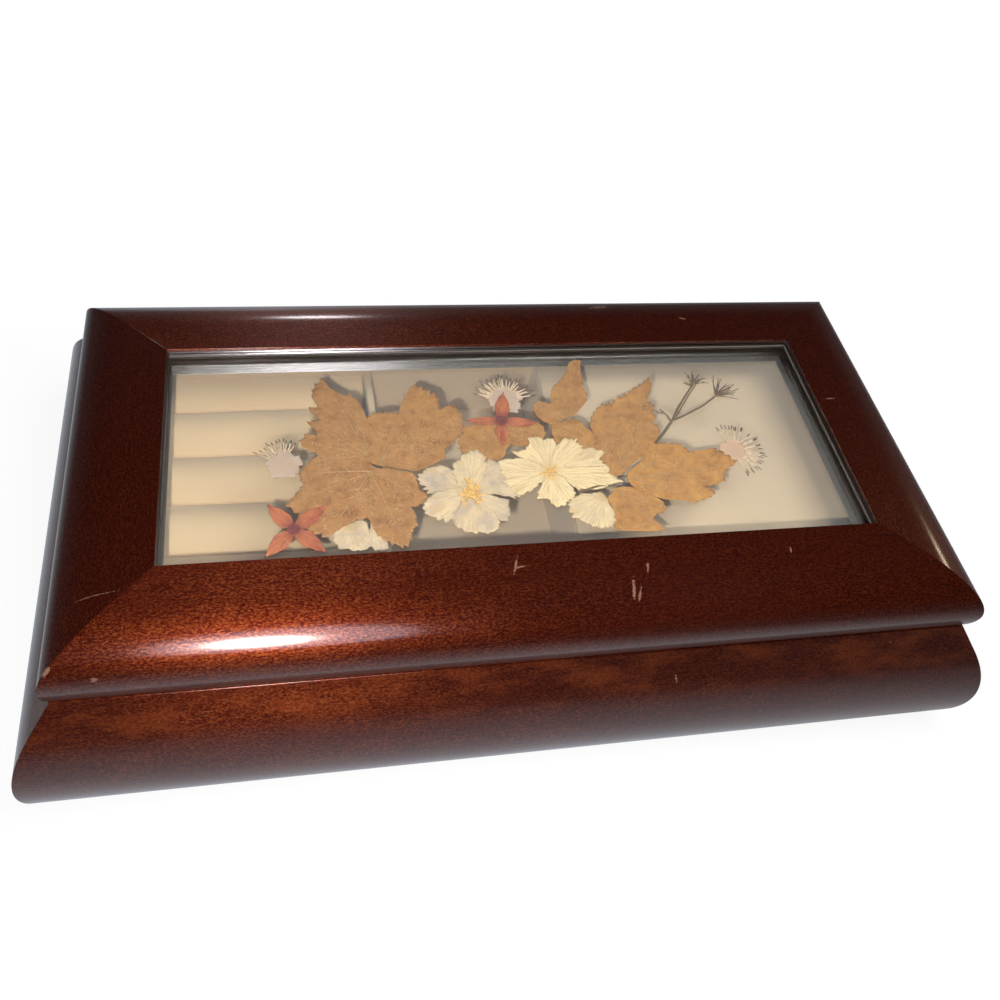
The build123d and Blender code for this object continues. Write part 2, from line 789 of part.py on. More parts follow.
def make_spring():
    housing = rod(arbor_x, arbor_y, bedplate_top, housing_top, housing_radius)
    below = bedplate_top - cut_overrun
    hollow = rod(arbor_x, arbor_y, below, housing_top - housing_wall, housing_radius - housing_wall)
    bore = rod(arbor_x, arbor_y, below, housing_top + cut_overrun, arbor_radius + running_clearance)
    save("spring_housing", housing - hollow - bore)
    inner = arbor_radius + spring_end_gap
    outer = housing_radius - housing_wall - spring_ribbon
    steps = spring_turns * spring_steps
    sides = []
    for offset in (0, spring_ribbon):
        line = []
        for step in range(steps + 1):
            radius = inner + (outer - inner) * step / steps + offset
            angle = 2 * pi * spring_turns * step / steps
            line.append((radius * cos(angle), radius * sin(angle)))
        sides.append(Spline(*line))
    ends = Line(sides[0] @ 0, sides[1] @ 0) + Line(sides[0] @ 1, sides[1] @ 1)
    ribbon = extrude(make_face(sides[0] + sides[1] + ends), amount=spring_width)
    save("mainspring", Pos(arbor_x, arbor_y, bedplate_top + spring_end_gap) * ribbon)


def make_great_wheel():
    """A flat wheel with teeth standing on its rim; one tooth points along +X at rest."""
    wheel = rod(0, 0, 0, wheel_thickness, crown_radius + crown_tooth_length / 2)
    wheel -= rod(0, 0, -cut_overrun, wheel_thickness + cut_overrun, arbor_radius + running_clearance)
    pitch = 2 * pi * crown_radius / crown_teeth
    foot = pitch * crown_foot_share
    crest = pitch * crown_crest_share
    top = wheel_thickness + crown_tooth_height
    base = wheel_thickness
    outline = Polyline((-foot, base), (foot, base), (crest, top), (-crest, top), close=True)
    rim = Plane(origin=(crown_radius - crown_tooth_length / 2, 0, 0), x_dir=(0, 1, 0), z_dir=(1, 0, 0))
    tooth = extrude(rim * make_face(outline), amount=crown_tooth_length)
    teeth = [Rot(0, 0, index * 360 / crown_teeth) * tooth for index in range(crown_teeth)]
    save("great_wheel", Pos(arbor_x, arbor_y, wheel_bottom) * wheel.fuse(*teeth))


def make_cylinder():
    drum = rod_along_x(0, drum_length, 0, 0, drum_radius)
    drum -= rod_along_x(-cut_overrun, drum_length + cut_overrun, 0, 0, cylinder_shaft_radius)
    track_pitch = drum_length / drum_tracks
    pins = []
    for track in range(drum_tracks):
        for index in range(pins_per_track):
            stagger = (track * index) % drum_stagger_steps * drum_pin_stagger
            angle = track * drum_track_turn + index * 360 / pins_per_track + stagger
            pin = rod(0, 0, drum_radius - drum_pin_root, drum_radius + drum_pin_height, drum_pin_radius)
            track_middle = track * track_pitch + track_pitch / 2
            pins.append(Pos(track_middle, 0, 0) * Rot(angle, 0, 0) * pin)
    save("cylinder_drum", Pos(drum_x, arbor_y, cylinder_z) * drum.fuse(*pins))
    pinion_x = pinion_middle_x - pinion_width / 2
    half_tooth = 180 / pinion_teeth
    pinion = Rot(-90 + half_tooth, 0, 0) * toothed_disc(pinion_teeth, pinion_pitch_radius, pinion_width)
    gear_radius = gear_module * cylinder_gear_teeth / 2
    gear = toothed_disc(cylinder_gear_teeth, gear_radius, gear_width)
    shaft = rod_along_x(pinion_x - shaft_end, cylinder_gear_x + gear_width + shaft_end, arbor_y, cylinder_z,
                        cylinder_shaft_radius)
    shaft += Pos(pinion_x, arbor_y, cylinder_z) * pinion
    save("cylinder_arbor", shaft + Pos(cylinder_gear_x, arbor_y, cylinder_z) * gear)


def cylinder_bracket(x, foot_side):
    top = cylinder_z + cylinder_shaft_radius + bracket_head_room
    front = arbor_y - bracket_half_width
    back = arbor_y + bracket_half_width
    plate = block(x, x + bracket_thickness, front, back, bedplate_top, top)
    foot_low = x if foot_side > 0 else x + bracket_thickness - bracket_foot
    foot = block(foot_low, foot_low + bracket_foot, front, back,
                 bedplate_top, bedplate_top + bracket_thickness)
    bore = rod_along_x(x - cut_overrun, x + bracket_thickness + cut_overrun, arbor_y, cylinder_z,
                       cylinder_shaft_radius + running_clearance)
    return plate + foot - bore


def make_bedplate(movement_screws):
    plate = block(arbor_x - bedplate_left, arbor_x + bedplate_right, arbor_y - bedplate_front,
                  arbor_y + bedplate_back, floor_top, bedplate_top)
    ledge = block(drum_x, drum_x + drum_length, comb_front, comb_front + comb_base_depth,
                  bedplate_top, cylinder_z - comb_thickness / 2)
    bore = rod(arbor_x, arbor_y, floor_top - cut_overrun, bedplate_top + cut_overrun,
               arbor_radius + running_clearance)
    save("movement_bedplate", plate + ledge - bore - movement_screws - comb_screw_solids())
    brackets = [cylinder_bracket(left_bracket_x, 1), cylinder_bracket(right_bracket_x, -1)]
    save("cylinder_brackets", group(brackets))


def comb_screw_solids():
    y = comb_front + comb_base_depth / 2
    top = cylinder_z + comb_thickness / 2
    screws = []
    for x in (drum_x + comb_screw_inset, drum_x + drum_length - comb_screw_inset):
        shank = rod(x, y, top - comb_screw_length, top, comb_screw_radius)
        screws.append(shank + rod(x, y, top, top + comb_screw_head_height, comb_screw_head))
    return screws


def make_comb():
    low = cylinder_z - comb_thickness / 2
    high = cylinder_z + comb_thickness / 2
    base_back = comb_front + comb_base_depth
    comb = block(drum_x, drum_x + drum_length, comb_front, base_back, low, high)
    tip = arbor_y - drum_radius - drum_pin_height - comb_tip_clearance
    pitch = drum_length / drum_tracks
    teeth = []
    for track in range(drum_tracks):
        left = drum_x + track * pitch + comb_slot / 2
        teeth.append(block(left, left + pitch - comb_slot, base_back - comb_tooth_root, tip, low, high))
    save("music_comb", comb.fuse(*teeth) - comb_screw_solids())
    save("comb_screws", group(comb_screw_solids()))


def make_governor_wheel():
    """A shaft with a small pinion on the cylinder's gear and a worm wheel between the frame's plates."""
    far_end = governor_x + governor_pitch + governor_plate + shaft_end
    shaft = rod_along_x(cylinder_gear_x - shaft_end, far_end, governor_y, cylinder_z, governor_shaft_radius)
    pinion_radius = gear_module * governor_pinion_teeth / 2
    mesh_turn = 180 / governor_pinion_teeth
    pinion = Rot(180 + mesh_turn, 0, 0) * toothed_disc(governor_pinion_teeth, pinion_radius, gear_width)
    wheel = toothed_disc(worm_wheel_teeth, worm_wheel_radius, worm_wheel_width, worm_tooth_share)
    shaft += Pos(cylinder_gear_x, governor_y, cylinder_z) * pinion
    save("governor_wheel", shaft + Pos(worm_x - worm_wheel_width / 2, governor_y, cylinder_z) * wheel)


def make_governor_frame():
    """Two posts that carry the wheel's shaft, and a foot and roof that carry the fly's pivots."""
    front = governor_y - governor_post_front
    post_back = front + governor_post_width
    back = worm_y + governor_rear_margin
    left = governor_x - governor_plate
    far_post = governor_x + governor_pitch
    right = far_post + governor_plate
    frame = block(left, right, front, back, bedplate_top, bedplate_top + governor_plate)
    frame += block(left, governor_x, front, post_back, bedplate_top, governor_roof)
    frame += block(far_post, right, front, post_back, bedplate_top, governor_roof)
    frame += block(left, right, front, back, governor_roof, governor_roof + governor_plate)
    frame -= rod_along_x(left - cut_overrun, right + cut_overrun, governor_y, cylinder_z,
                         governor_shaft_radius + running_clearance)
    save("governor_frame", frame - rod(worm_x, worm_y, bedplate_top + governor_end_play,
                                       governor_roof + governor_plate + cut_overrun,
                                       worm_pivot_radius + running_clearance))


def make_governor_fly():
    """A spindle with a worm thread above, and a disc with two air blades below."""
    pivot_top = governor_roof + governor_plate
    core_top = governor_roof - governor_end_play
    spindle = rod(worm_x, worm_y, bedplate_top + 2 * governor_end_play, pivot_top, worm_pivot_radius)
    spindle += rod(worm_x, worm_y, fly_bottom, core_top, worm_core_radius)
    spindle += rod(worm_x, worm_y, fly_bottom, fly_bottom + fly_disc, fly_radius)
    blade_reach = fly_radius - fly_blade_inset
    spindle += block(worm_x - blade_reach, worm_x + blade_reach, worm_y - fly_blade / 2,
                     worm_y + fly_blade / 2, fly_bottom, fly_bottom + fly_height)
    save("governor_fly", spindle + worm_thread())


def worm_thread():
    """One helical ridge, turned so that it passes between the wheel's teeth."""
    lead = pi * gear_module
    helix = Helix(pitch=lead, height=worm_length, radius=worm_core_radius)
    section_plane = Plane(origin=helix @ 0, x_dir=(1, 0, 0), z_dir=helix % 0)
    foot, crest = worm_thread_foot, worm_thread_crest
    outline = Polyline((-worm_thread_root, -foot), (-worm_thread_root, foot),
                       (worm_thread_height, crest), (worm_thread_height, -crest), close=True)
    ridge = sweep(section_plane * make_face(outline), path=helix, is_frenet=True)
    turns_to_mesh = 360 * ((worm_length / 2) % lead) / lead - 90
    return Pos(worm_x, worm_y, cylinder_z - worm_length / 2) * Rot(0, 0, -turns_to_mesh) * ridge


# Stop work
def make_stop_bracket():
    """An upright sheet with a foot, a shelf that guides the plunger and a riveted pivot pin."""
    plate_y = worm_y + plunger_collar_radius + stop_margin
    right = lined_half_length - stop_wall_gap
    left = lever_pivot_x - stop_edge_margin
    shelf_left = plunger_x - plunger_collar_radius - stop_margin
    bracket = block(left, right, plate_y, plate_y + stop_sheet, floor_top, stop_shelf_height)
    bracket += block(left, right, plate_y, plate_y + stop_foot_depth, floor_top, floor_top + stop_sheet)
    bracket += block(shelf_left, right, worm_y - plunger_collar_radius, plate_y + stop_sheet,
                     stop_shelf_height - stop_sheet, stop_shelf_height)
    bracket -= rod(plunger_x, worm_y, floor_top, stop_shelf_height + cut_overrun,
                   plunger_radius + running_clearance)
    pin_front = worm_y - lever_thickness / 2 - lever_side_gap
    head_front = pin_front - stop_sheet
    bracket += rod_along_y(lever_pivot_x, head_front, plate_y, lever_pivot_height, lever_pin_radius)
    bracket += rod_along_y(lever_pivot_x, head_front, pin_front, lever_pivot_height,
                           lever_pin_radius + lever_pin_head)
    save("stop_bracket", bracket)


def make_stop_lever():
    """A bell crank: its tail lies under the plunger and its nose stands beside the fly's disc."""
    nose_x = worm_x + fly_radius + lever_nose_gap
    nose_low = fly_bottom - fly_blade_inset
    nose_high = fly_bottom + fly_disc + fly_lift
    tail_end = plunger_x + plunger_radius
    tail_top = plunger_foot - lever_tail_gap
    tail_low = tail_top - lever_arm
    side = Plane(origin=(0, worm_y, 0), x_dir=(1, 0, 0), z_dir=(0, -1, 0))
    arm = Polyline((nose_x, nose_low), (nose_x + lever_arm, nose_low), (lever_pivot_x + lever_arm, tail_low),
                   (tail_end, tail_low), (tail_end, tail_top), (lever_pivot_x, tail_top),
                   (nose_x, nose_high), close=True)
    front = worm_y - lever_thickness / 2
    back = worm_y + lever_thickness / 2
    lever = extrude(side * make_face(arm), amount=lever_thickness / 2, both=True)
    lever += rod_along_y(lever_pivot_x, front, back, lever_pivot_height, lever_hub_radius)
    lever -= rod_along_y(lever_pivot_x, front - cut_overrun, back + cut_overrun, lever_pivot_height,
                         lever_pin_radius + running_clearance)
    save("stop_lever", lever)


def make_stop_plunger():
    """A rod that the closed lid holds down, and the small coil spring under its collar."""
    plunger = rod(plunger_x, worm_y, plunger_foot, lid_bottom - plunger_lid_gap, plunger_radius)
    save("stop_plunger", plunger + rod(plunger_x, worm_y, collar_low, collar_top, plunger_collar_radius))
    spring_height = collar_low - stop_shelf_height - 2 * (stop_spring_wire + stop_spring_seat)
    coil_radius = plunger_radius + stop_spring_wire + stop_spring_gap
    helix = Helix(pitch=spring_height / stop_spring_turns, height=spring_height, radius=coil_radius)
    section = Plane(origin=helix @ 0, z_dir=helix % 0) * Circle(stop_spring_wire)
    wire = sweep(section, path=helix, is_frenet=True)
    seat = stop_shelf_height + stop_spring_wire + stop_spring_seat
    save("stop_spring", Pos(plunger_x, worm_y, seat) * wire)


hinge_cuts = make_hinges()
movement_screws = make_base(hinge_cuts["base"])
make_lining()
make_ring_pad()
make_lid(hinge_cuts["lid"])
make_pressed_pieces()
make_bedplate(movement_screws)
make_winding()
make_spring()
make_great_wheel()
make_cylinder()
make_comb()
make_governor_wheel()
make_governor_frame()
make_governor_fly()
make_stop_bracket()
make_stop_lever()
make_stop_plunger()
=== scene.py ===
# %% [markdown]
# # A musical jewelry box with pressed flowers under glass
# The box is a low, flared base and a hinged frame lid in red lacquered mahogany. Two panes of
# glass in the lid hold pressed leaves and flowers. Inside are cream suede linings, a ring pad of
# soft rolls and a cover over the musical movement. The joinery, hinges and clockwork come from the
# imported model. This file adds the finishes, and remakes the pieces whose surface a plain solid
# can't show: moulded rails, cloth, glass and dried plants.

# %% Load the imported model
import json

import bmesh
import bpy
import numpy as np
from mathutils import Matrix, Vector


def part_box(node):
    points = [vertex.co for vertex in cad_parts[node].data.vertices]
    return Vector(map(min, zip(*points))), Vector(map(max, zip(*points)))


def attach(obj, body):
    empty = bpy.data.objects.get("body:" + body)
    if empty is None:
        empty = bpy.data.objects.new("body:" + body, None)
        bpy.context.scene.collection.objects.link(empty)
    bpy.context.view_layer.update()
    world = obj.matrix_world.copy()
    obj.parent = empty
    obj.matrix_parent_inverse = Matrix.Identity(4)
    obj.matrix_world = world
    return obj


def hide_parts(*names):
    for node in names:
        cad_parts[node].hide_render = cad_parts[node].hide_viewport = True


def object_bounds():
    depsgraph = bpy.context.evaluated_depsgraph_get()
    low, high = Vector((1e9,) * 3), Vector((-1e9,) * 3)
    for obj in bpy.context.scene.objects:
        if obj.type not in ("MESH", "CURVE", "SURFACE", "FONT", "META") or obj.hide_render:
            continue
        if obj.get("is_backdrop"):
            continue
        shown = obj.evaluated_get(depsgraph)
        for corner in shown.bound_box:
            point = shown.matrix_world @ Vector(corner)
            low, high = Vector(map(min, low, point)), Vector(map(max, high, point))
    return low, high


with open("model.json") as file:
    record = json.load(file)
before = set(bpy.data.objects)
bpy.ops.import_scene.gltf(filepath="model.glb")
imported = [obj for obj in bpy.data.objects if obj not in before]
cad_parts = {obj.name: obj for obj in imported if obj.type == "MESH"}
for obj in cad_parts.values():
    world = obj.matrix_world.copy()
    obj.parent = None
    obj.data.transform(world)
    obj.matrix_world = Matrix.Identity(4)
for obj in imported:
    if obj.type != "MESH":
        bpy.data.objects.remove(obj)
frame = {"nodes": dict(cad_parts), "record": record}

nodes = frame["nodes"]
cad_low, cad_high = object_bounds()
mm = 0.001
cad_size = [round((high - low) / mm, 1) for low, high in zip(cad_low, cad_high)]
print("nodes:", len(nodes), "box in mm:", cad_size)

# %% [markdown]
# ## The camera
# A phone held close above the front left corner took the picture, so the view has strong
# perspective. A camera's place, its right and up directions and its focal length in pixels say
# all of that. The lens axis meets the picture a little up and left of its middle, which is a
# small lens shift in Blender.

# %% Camera
picture_pixels = 1000
focal_pixels = 935.3
lens_axis_pixel = (470, 470)
sensor_width = 36.0

camera_place = Vector((-63.25, -158.67, 254.0)) * mm
camera_right = Vector((0.98045, -0.15037, 0.12692)).normalized()
camera_up = Vector((0.04239, 0.79124, 0.61004))
camera_back = camera_right.cross(camera_up).normalized()
camera_up = camera_back.cross(camera_right)

camera = bpy.data.objects.new("camera", bpy.data.cameras.new("camera"))
bpy.context.scene.collection.objects.link(camera)
camera.data.sensor_width = sensor_width
camera.data.lens = focal_pixels * sensor_width / picture_pixels
camera.data.shift_x = 0.5 - lens_axis_pixel[0] / picture_pixels
camera.data.shift_y = lens_axis_pixel[1] / picture_pixels - 0.5
camera.data.clip_start = 0.01
turn = Matrix((camera_right, camera_up, camera_back)).transposed()
camera.matrix_world = Matrix.Translation(camera_place) @ turn.to_4x4()
bpy.context.scene.camera = camera
bpy.context.scene.view_settings.view_transform = "Standard"
print("lens:", round(camera.data.lens, 2), "mm")

# %% [markdown]
# ## Small tools for materials
# A finish is a Principled shader with a few nodes in front of it. Two helpers keep each finish
# short: one starts a material and writes plain values on the shader's own sockets, the other adds
# a node and plugs values or other nodes into it. The rest are the few steps that most finishes use.


# %% Nodes and sockets
def new_finish(name, **sockets):
    """A Principled material. Each value goes on the socket of that name, with _ for a space."""
    material = bpy.data.materials.new(name)
    material.use_nodes = True
    shader = material.node_tree.nodes["Principled BSDF"]
    for socket, value in sockets.items():
        shader.inputs[socket.replace("_", " ")].default_value = value
    return material


def add(material, kind, inputs=None, **options):
    """A node of that kind. An input takes a value or another node's output."""
    node = material.node_tree.nodes.new("ShaderNode" + kind)
    for option, value in options.items():
        setattr(node, option, value)
    for socket, value in (inputs or {}).items():
        if isinstance(value, bpy.types.NodeSocket):
            material.node_tree.links.new(value, node.inputs[socket])
        else:
            node.inputs[socket].default_value = value
    return node


def plug(material, socket, output):
    """The output drives that socket of the material's Principled shader."""
    shader = material.node_tree.nodes["Principled BSDF"]
    material.node_tree.links.new(output, shader.inputs[socket])


# %% Patterns
def place_in_mm(material, scale=(1, 1, 1), turn=(0, 0, 0)):
    """Object coordinates in millimetres, squeezed by scale after a turn in radians."""
    coordinates = add(material, "TexCoord").outputs["Object"]
    per_mm = tuple(1000 * value for value in scale)
    turned = add(material, "Mapping", {"Vector": coordinates, "Rotation": turn}).outputs[0]
    return add(material, "Mapping", {"Vector": turned, "Scale": per_mm}).outputs[0]


def noise(material, vector, scale, detail=3.0, roughness=0.55):
    inputs = {"Vector": vector, "Scale": scale, "Detail": detail, "Roughness": roughness}
    return add(material, "TexNoise", inputs).outputs["Fac"]


def grain(material, across, along, beside, scale, detail=3.0, roughness=0.55):
    """Noise drawn out along X, or along Y where across is true: waves per mm along and beside that line."""
    turn = (0, 0, np.pi / 2 if across else 0)
    return noise(material, place_in_mm(material, (along, beside, beside), turn), scale, detail, roughness)


def ramp(material, fac, stops, smooth=False):
    """A colour ramp: stops are (position, colour)."""
    node = add(material, "ValToRGB", {"Fac": fac})
    node.color_ramp.interpolation = "EASE" if smooth else "LINEAR"
    elements = node.color_ramp.elements
    for position, colour in stops[1:-1]:
        elements.new(position)
    for element, (position, colour) in zip(elements, stops):
        element.position = position
        element.color = (*colour, 1)
    return node.outputs["Color"]


def step_up(material, value, low, high):
    """0 below low, 1 above high, and a smooth rise between them."""
    inputs = {"Value": value, "From Min": low, "From Max": high}
    return add(material, "MapRange", inputs, interpolation_type="SMOOTHSTEP").outputs[0]


# %% Sums and blends
def calculate(material, operation, first, second=0.0):
    return add(material, "Math", {0: first, 1: second}, operation=operation).outputs[0]


def product(material, first, *others):
    """All the values multiplied together."""
    for value in others:
        first = calculate(material, "MULTIPLY", first, value)
    return first


def blend_colours(material, fac, first, second, how="MIX"):
    """The first colour at fac 0, the second at fac 1."""
    first, second = ((*colour, 1) if isinstance(colour, tuple) else colour for colour in (first, second))
    return add(material, "Mix", {0: fac, 6: first, 7: second}, data_type="RGBA", blend_type=how).outputs[2]


def touched(material, colour, mask, share, other):
    """The colour with that share of the other one where the mask is 1."""
    return blend_colours(material, product(material, mask, share), colour, other)


def bump(material, height, strength, distance_mm):
    inputs = {"Height": height, "Strength": strength, "Distance": distance_mm * mm}
    return add(material, "Bump", inputs).outputs[0]


# %% [markdown]
# ## Floor, room and lamps
# The box stands on a plain white table in a dim room. Both are white where the camera sees them.
# Lacquer mirrors the table brightly beside the box's left part. Further out, at the right and behind it,
# the table's glow in the lacquer is painted shade, darker where the real one lies in shade.

# %% Floor
table_reach = 3.0
table_grey = (0.55, 0.56, 0.6, 1)
white_colour, mirrored_colour = (1.0, 1.0, 1.0), (0.80, 0.90, 1.0)
glow_strength = 1.18
box_end, box_side, shadow_reach = 0.12, 0.061, 0.08
white_share_near, white_share_far = 0.72, 0.85
mirrored_share = 0.8

table = bpy.data.meshes.new("table")
table_corners = [(x * table_reach, y * table_reach, 0) for x, y in ((-1, -1), (1, -1), (1, 1), (-1, 1))]
table.from_pydata(table_corners, [], [(0, 1, 2, 3)])
table_top = bpy.data.objects.new("table", table)
bpy.context.scene.collection.objects.link(table_top)
table_top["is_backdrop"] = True

# %% Table paint
table_paint = bpy.data.materials.new("table_paint")
table_paint.use_nodes = True
table_nodes = table_paint.node_tree.nodes
table_nodes.remove(table_nodes["Principled BSDF"])
matt = add(table_paint, "BsdfDiffuse", {"Color": table_grey}).outputs[0]
path = add(table_paint, "LightPath").outputs
glow_colour = blend_colours(table_paint, path["Is Glossy Ray"], white_colour, mirrored_colour)
white = add(table_paint, "Emission", {"Color": glow_colour, "Strength": glow_strength}).outputs[0]
spot = add(table_paint, "TexCoord").outputs["Object"]
place = add(table_paint, "SeparateXYZ", {0: spot}).outputs
unsigned = add(table_paint, "VectorMath", {0: spot}, operation="ABSOLUTE").outputs[0]
aside = add(table_paint, "SeparateXYZ", {0: unsigned}).outputs


def fade(value, start, end, first, last):
    """first up to start, last beyond end, and a straight slope between them."""
    inputs = {"Value": value, "From Min": start, "From Max": end, "To Min": first, "To Max": last}
    return add(table_paint, "MapRange", inputs).outputs[0]


past_end = calculate(table_paint, "SUBTRACT", aside["X"], box_end)
past_side = calculate(table_paint, "SUBTRACT", aside["Y"], box_side)
away = calculate(table_paint, "MAXIMUM", past_end, past_side)
seen = calculate(table_paint, "MAXIMUM", path["Is Camera Ray"], path["Is Transmission Ray"])
seen_share = product(table_paint, seen, fade(away, 0.0, shadow_reach, white_share_near, white_share_far))
mirrored_shade_fades = (
    # Axis, where the painted shade on the mirrored table starts and stops to fade in metres, and the share
    # of glow that is left
    ("X", 0.03, 0.17, 0.12),
    ("X", -0.125, -0.20, 0.2),
    ("Y", -0.125, -0.19, 0.4),
)
painted_shade_pools = [fade(place[axis], start, end, 1.0, left) for axis, start, end, left in mirrored_shade_fades]
behind = fade(place["Y"], 0.04, 0.07, 0.0, 1.0)
painted_shade_behind_right = product(table_paint, behind, fade(place["X"], -0.07, 0.01, 0.0, 0.7))
painted_shade_pools.append(calculate(table_paint, "SUBTRACT", 1.0, painted_shade_behind_right))
# Painted shade: lacquer mirrors less of the table's white glow to the right, far left and far front, and
# behind the box's right part
mirror_share = product(table_paint, path["Is Glossy Ray"], *painted_shade_pools, mirrored_share)
share = calculate(table_paint, "MAXIMUM", seen_share, mirror_share)
mixed = add(table_paint, "MixShader", {0: share, 1: matt, 2: white}).outputs[0]
table_paint.node_tree.links.new(mixed, table_nodes["Material Output"].inputs["Surface"])
table.materials.append(table_paint)
print("table:", 2 * table_reach, "m wide")

# %% Room
wall_levels = (
    # Height on the sky from 0 at the horizon to 1 overhead, and the light from there
    (0.0, (0.12, 0.117, 0.115)),
    (0.2, (0.08, 0.078, 0.077)),
    (0.45, (0.016, 0.016, 0.018)),
    (1.0, (0.012, 0.012, 0.014)),
)
room = bpy.data.worlds.new("room")
bpy.context.scene.world = room
room.use_nodes = True
direction = add(room, "TexCoord").outputs["Generated"]
height = add(room, "SeparateXYZ", {0: direction}).outputs["Z"]
walls = ramp(room, height, wall_levels, smooth=True)
looked_at = add(room, "LightPath").outputs
in_view = calculate(room, "MAXIMUM", looked_at["Is Camera Ray"], looked_at["Is Transmission Ray"])
background = room.node_tree.nodes["Background"]
room.node_tree.links.new(blend_colours(room, in_view, walls, white_colour), background.inputs["Color"])
background.inputs["Strength"].default_value = 1.0
print("room:", len(wall_levels), "levels of light")

# %% [markdown]
# A phone's light beside the camera lights the box, and falls off along it. Round it, lacquer
# mirrors the phone's own glow, which draws the long highlight on the front rail, so each lamp says
# whether it is seen in lacquer and whether it lights. A weak light from above right fills the
# shadows. A window behind and a warm lamp at the right only show as short streaks in the lacquer.


# %% Lamps
def lamp(name, place, aim, radius, watts, colour, mirrored=True, lights=True):
    """A round lamp at place, in mm, that shines towards aim. It may only be mirrored, or only light."""
    light = bpy.data.lights.new(name, "AREA")
    light.shape = "DISK"
    light.size = 2 * radius * mm
    light.energy = watts
    light.color = colour
    made = bpy.data.objects.new(name, light)
    made.location = Vector(place) * mm
    made.rotation_mode = "QUATERNION"
    made.rotation_quaternion = (Vector(aim) - Vector(place)).to_track_quat("-Z", "Y")
    made.visible_camera = False
    made.visible_glossy = mirrored
    made.visible_diffuse = lights
    bpy.context.scene.collection.objects.link(made)


phone, beside_phone = (-79.0, -171.0, 252.0), (-66.0, -171.0, 252.0)
lid_left = (-15.0, 0.0, 45.0)
above_right, box_right = (150.0, -60.0, 420.0), (20.0, 0.0, 40.0)
window, back_rail_left = (-10.0, 1165.0, 500.0), (-50.0, 49.0, 58.0)
far_right, corner_right = (1140.0, 405.0, 455.0), (109.0, -51.0, 58.0)
lamp("key_lamp", phone, lid_left, 4.5, 0.62, (1.0, 0.94, 0.88), mirrored=False)
lamp("key_glow", phone, lid_left, 24.0, 0.72, (1.0, 0.92, 0.86), lights=False)
lamp("key_halo", beside_phone, lid_left, 62.0, 0.4, (0.93, 0.84, 1.0), lights=False)
lamp("ceiling_fill", above_right, box_right, 150.0, 1.15, (1.0, 0.97, 0.94), mirrored=False)
lamp("window_behind", window, back_rail_left, 60.0, 1.2, (1.0, 0.95, 0.98), lights=False)
lamp("warm_lamp_right", far_right, corner_right, 50.0, 0.5, (1.0, 0.8, 0.55), lights=False)

# %% [markdown]
# ## Lacquered mahogany
# The rails are stained mahogany under clear lacquer. Wood fibres mirror light like a bundle of
# threads: a rail glows orange where lamp and eye lie square across its fibres, and turns nearly
# black where they don't. A dark base with an orange tinted, anisotropic sheen whose tangent runs
# along the rail does that, with pores and flecks in its colour, and a clear coat lies on top. Chips
# and scratches show pale wood, and on the base hands have rubbed the stain thin in patches.

# %% Wear marks
wear_marks = (
    # Middle in mm, heading in degrees and half sizes: chips and scratches in the lacquer
    ((37.0, 53.5, 59.0), 10, (4.8, 1.8, 3.0)),
    ((62.0, 46.0, 59.6), -20, (1.4, 0.5, 2.0)),
    ((98.8, 10.0, 59.6), 5, (2.2, 0.3, 2.0)),
    ((-8.5, -41.5, 59.4), 70, (3.2, 0.35, 2.0)),
    ((-7.5, -42.0, 59.4), 10, (1.8, 0.35, 2.0)),
    ((20.5, -50.0, 58.8), 80, (3.4, 0.5, 3.0)),
    ((21.8, -51.5, 58.6), 70, (2.2, 0.4, 3.0)),
    ((25.5, -44.5, 59.4), 80, (1.4, 0.45, 2.0)),
    ((66.0, -42.0, 59.6), 80, (1.4, 0.3, 2.0)),
    ((-117.0, -58.0, 54.5), 40, (1.6, 0.7, 2.0)),
    ((-107.5, -60.0, 52.5), 10, (1.2, 0.6, 1.0)),
    ((-107.0, -42.0, 58.3), 8, (6.5, 0.14, 2.0)),
    ((35.0, -66.5, 36.5), 15, (0.6, 3.0, 2.2)),
    ((98.5, -64.0, 40.0), 35, (2.6, 3.0, 1.0)),
)


def wear(wood, spot):
    """1 inside any wear mark: |turned (p - middle) / half sizes| plus noise stays under a limit."""
    ragged = product(wood, noise(wood, spot, 1.6), 2.0)
    worn = 0.0
    for place, heading, half_sizes in wear_marks:
        offset = add(wood, "VectorMath", {0: spot, 1: place}, operation="SUBTRACT").outputs[0]
        turn = (0, 0, -np.radians(heading))
        turned = add(wood, "Mapping", {"Vector": offset, "Rotation": turn}).outputs[0]
        squeezed = add(wood, "VectorMath", {0: turned, 1: half_sizes}, operation="DIVIDE").outputs[0]
        reach = add(wood, "VectorMath", {0: squeezed}, operation="LENGTH").outputs["Value"]
        mark = step_up(wood, calculate(wood, "ADD", reach, ragged), 1.9, 1.6)
        worn = calculate(wood, "MAXIMUM", mark, worn)
    return worn


# %% Mahogany
worn_share, rubbed_share, cloud_share = 0.36, 0.4, 0.35
pale_wood, thin_stain = (0.50, 0.30, 0.22), (0.15, 0.034, 0.009)
stain_levels = [(0.30, (0.011, 0.0014, 0.0007)), (0.48, (0.024, 0.003, 0.0014)),
                (0.62, (0.045, 0.0065, 0.0022)), (0.78, (0.082, 0.017, 0.005))]
glow_levels = [(0.38, (0.08, 0.006, 0.003)), (0.50, (0.54, 0.08, 0.022)), (0.62, (1.0, 0.29, 0.08))]


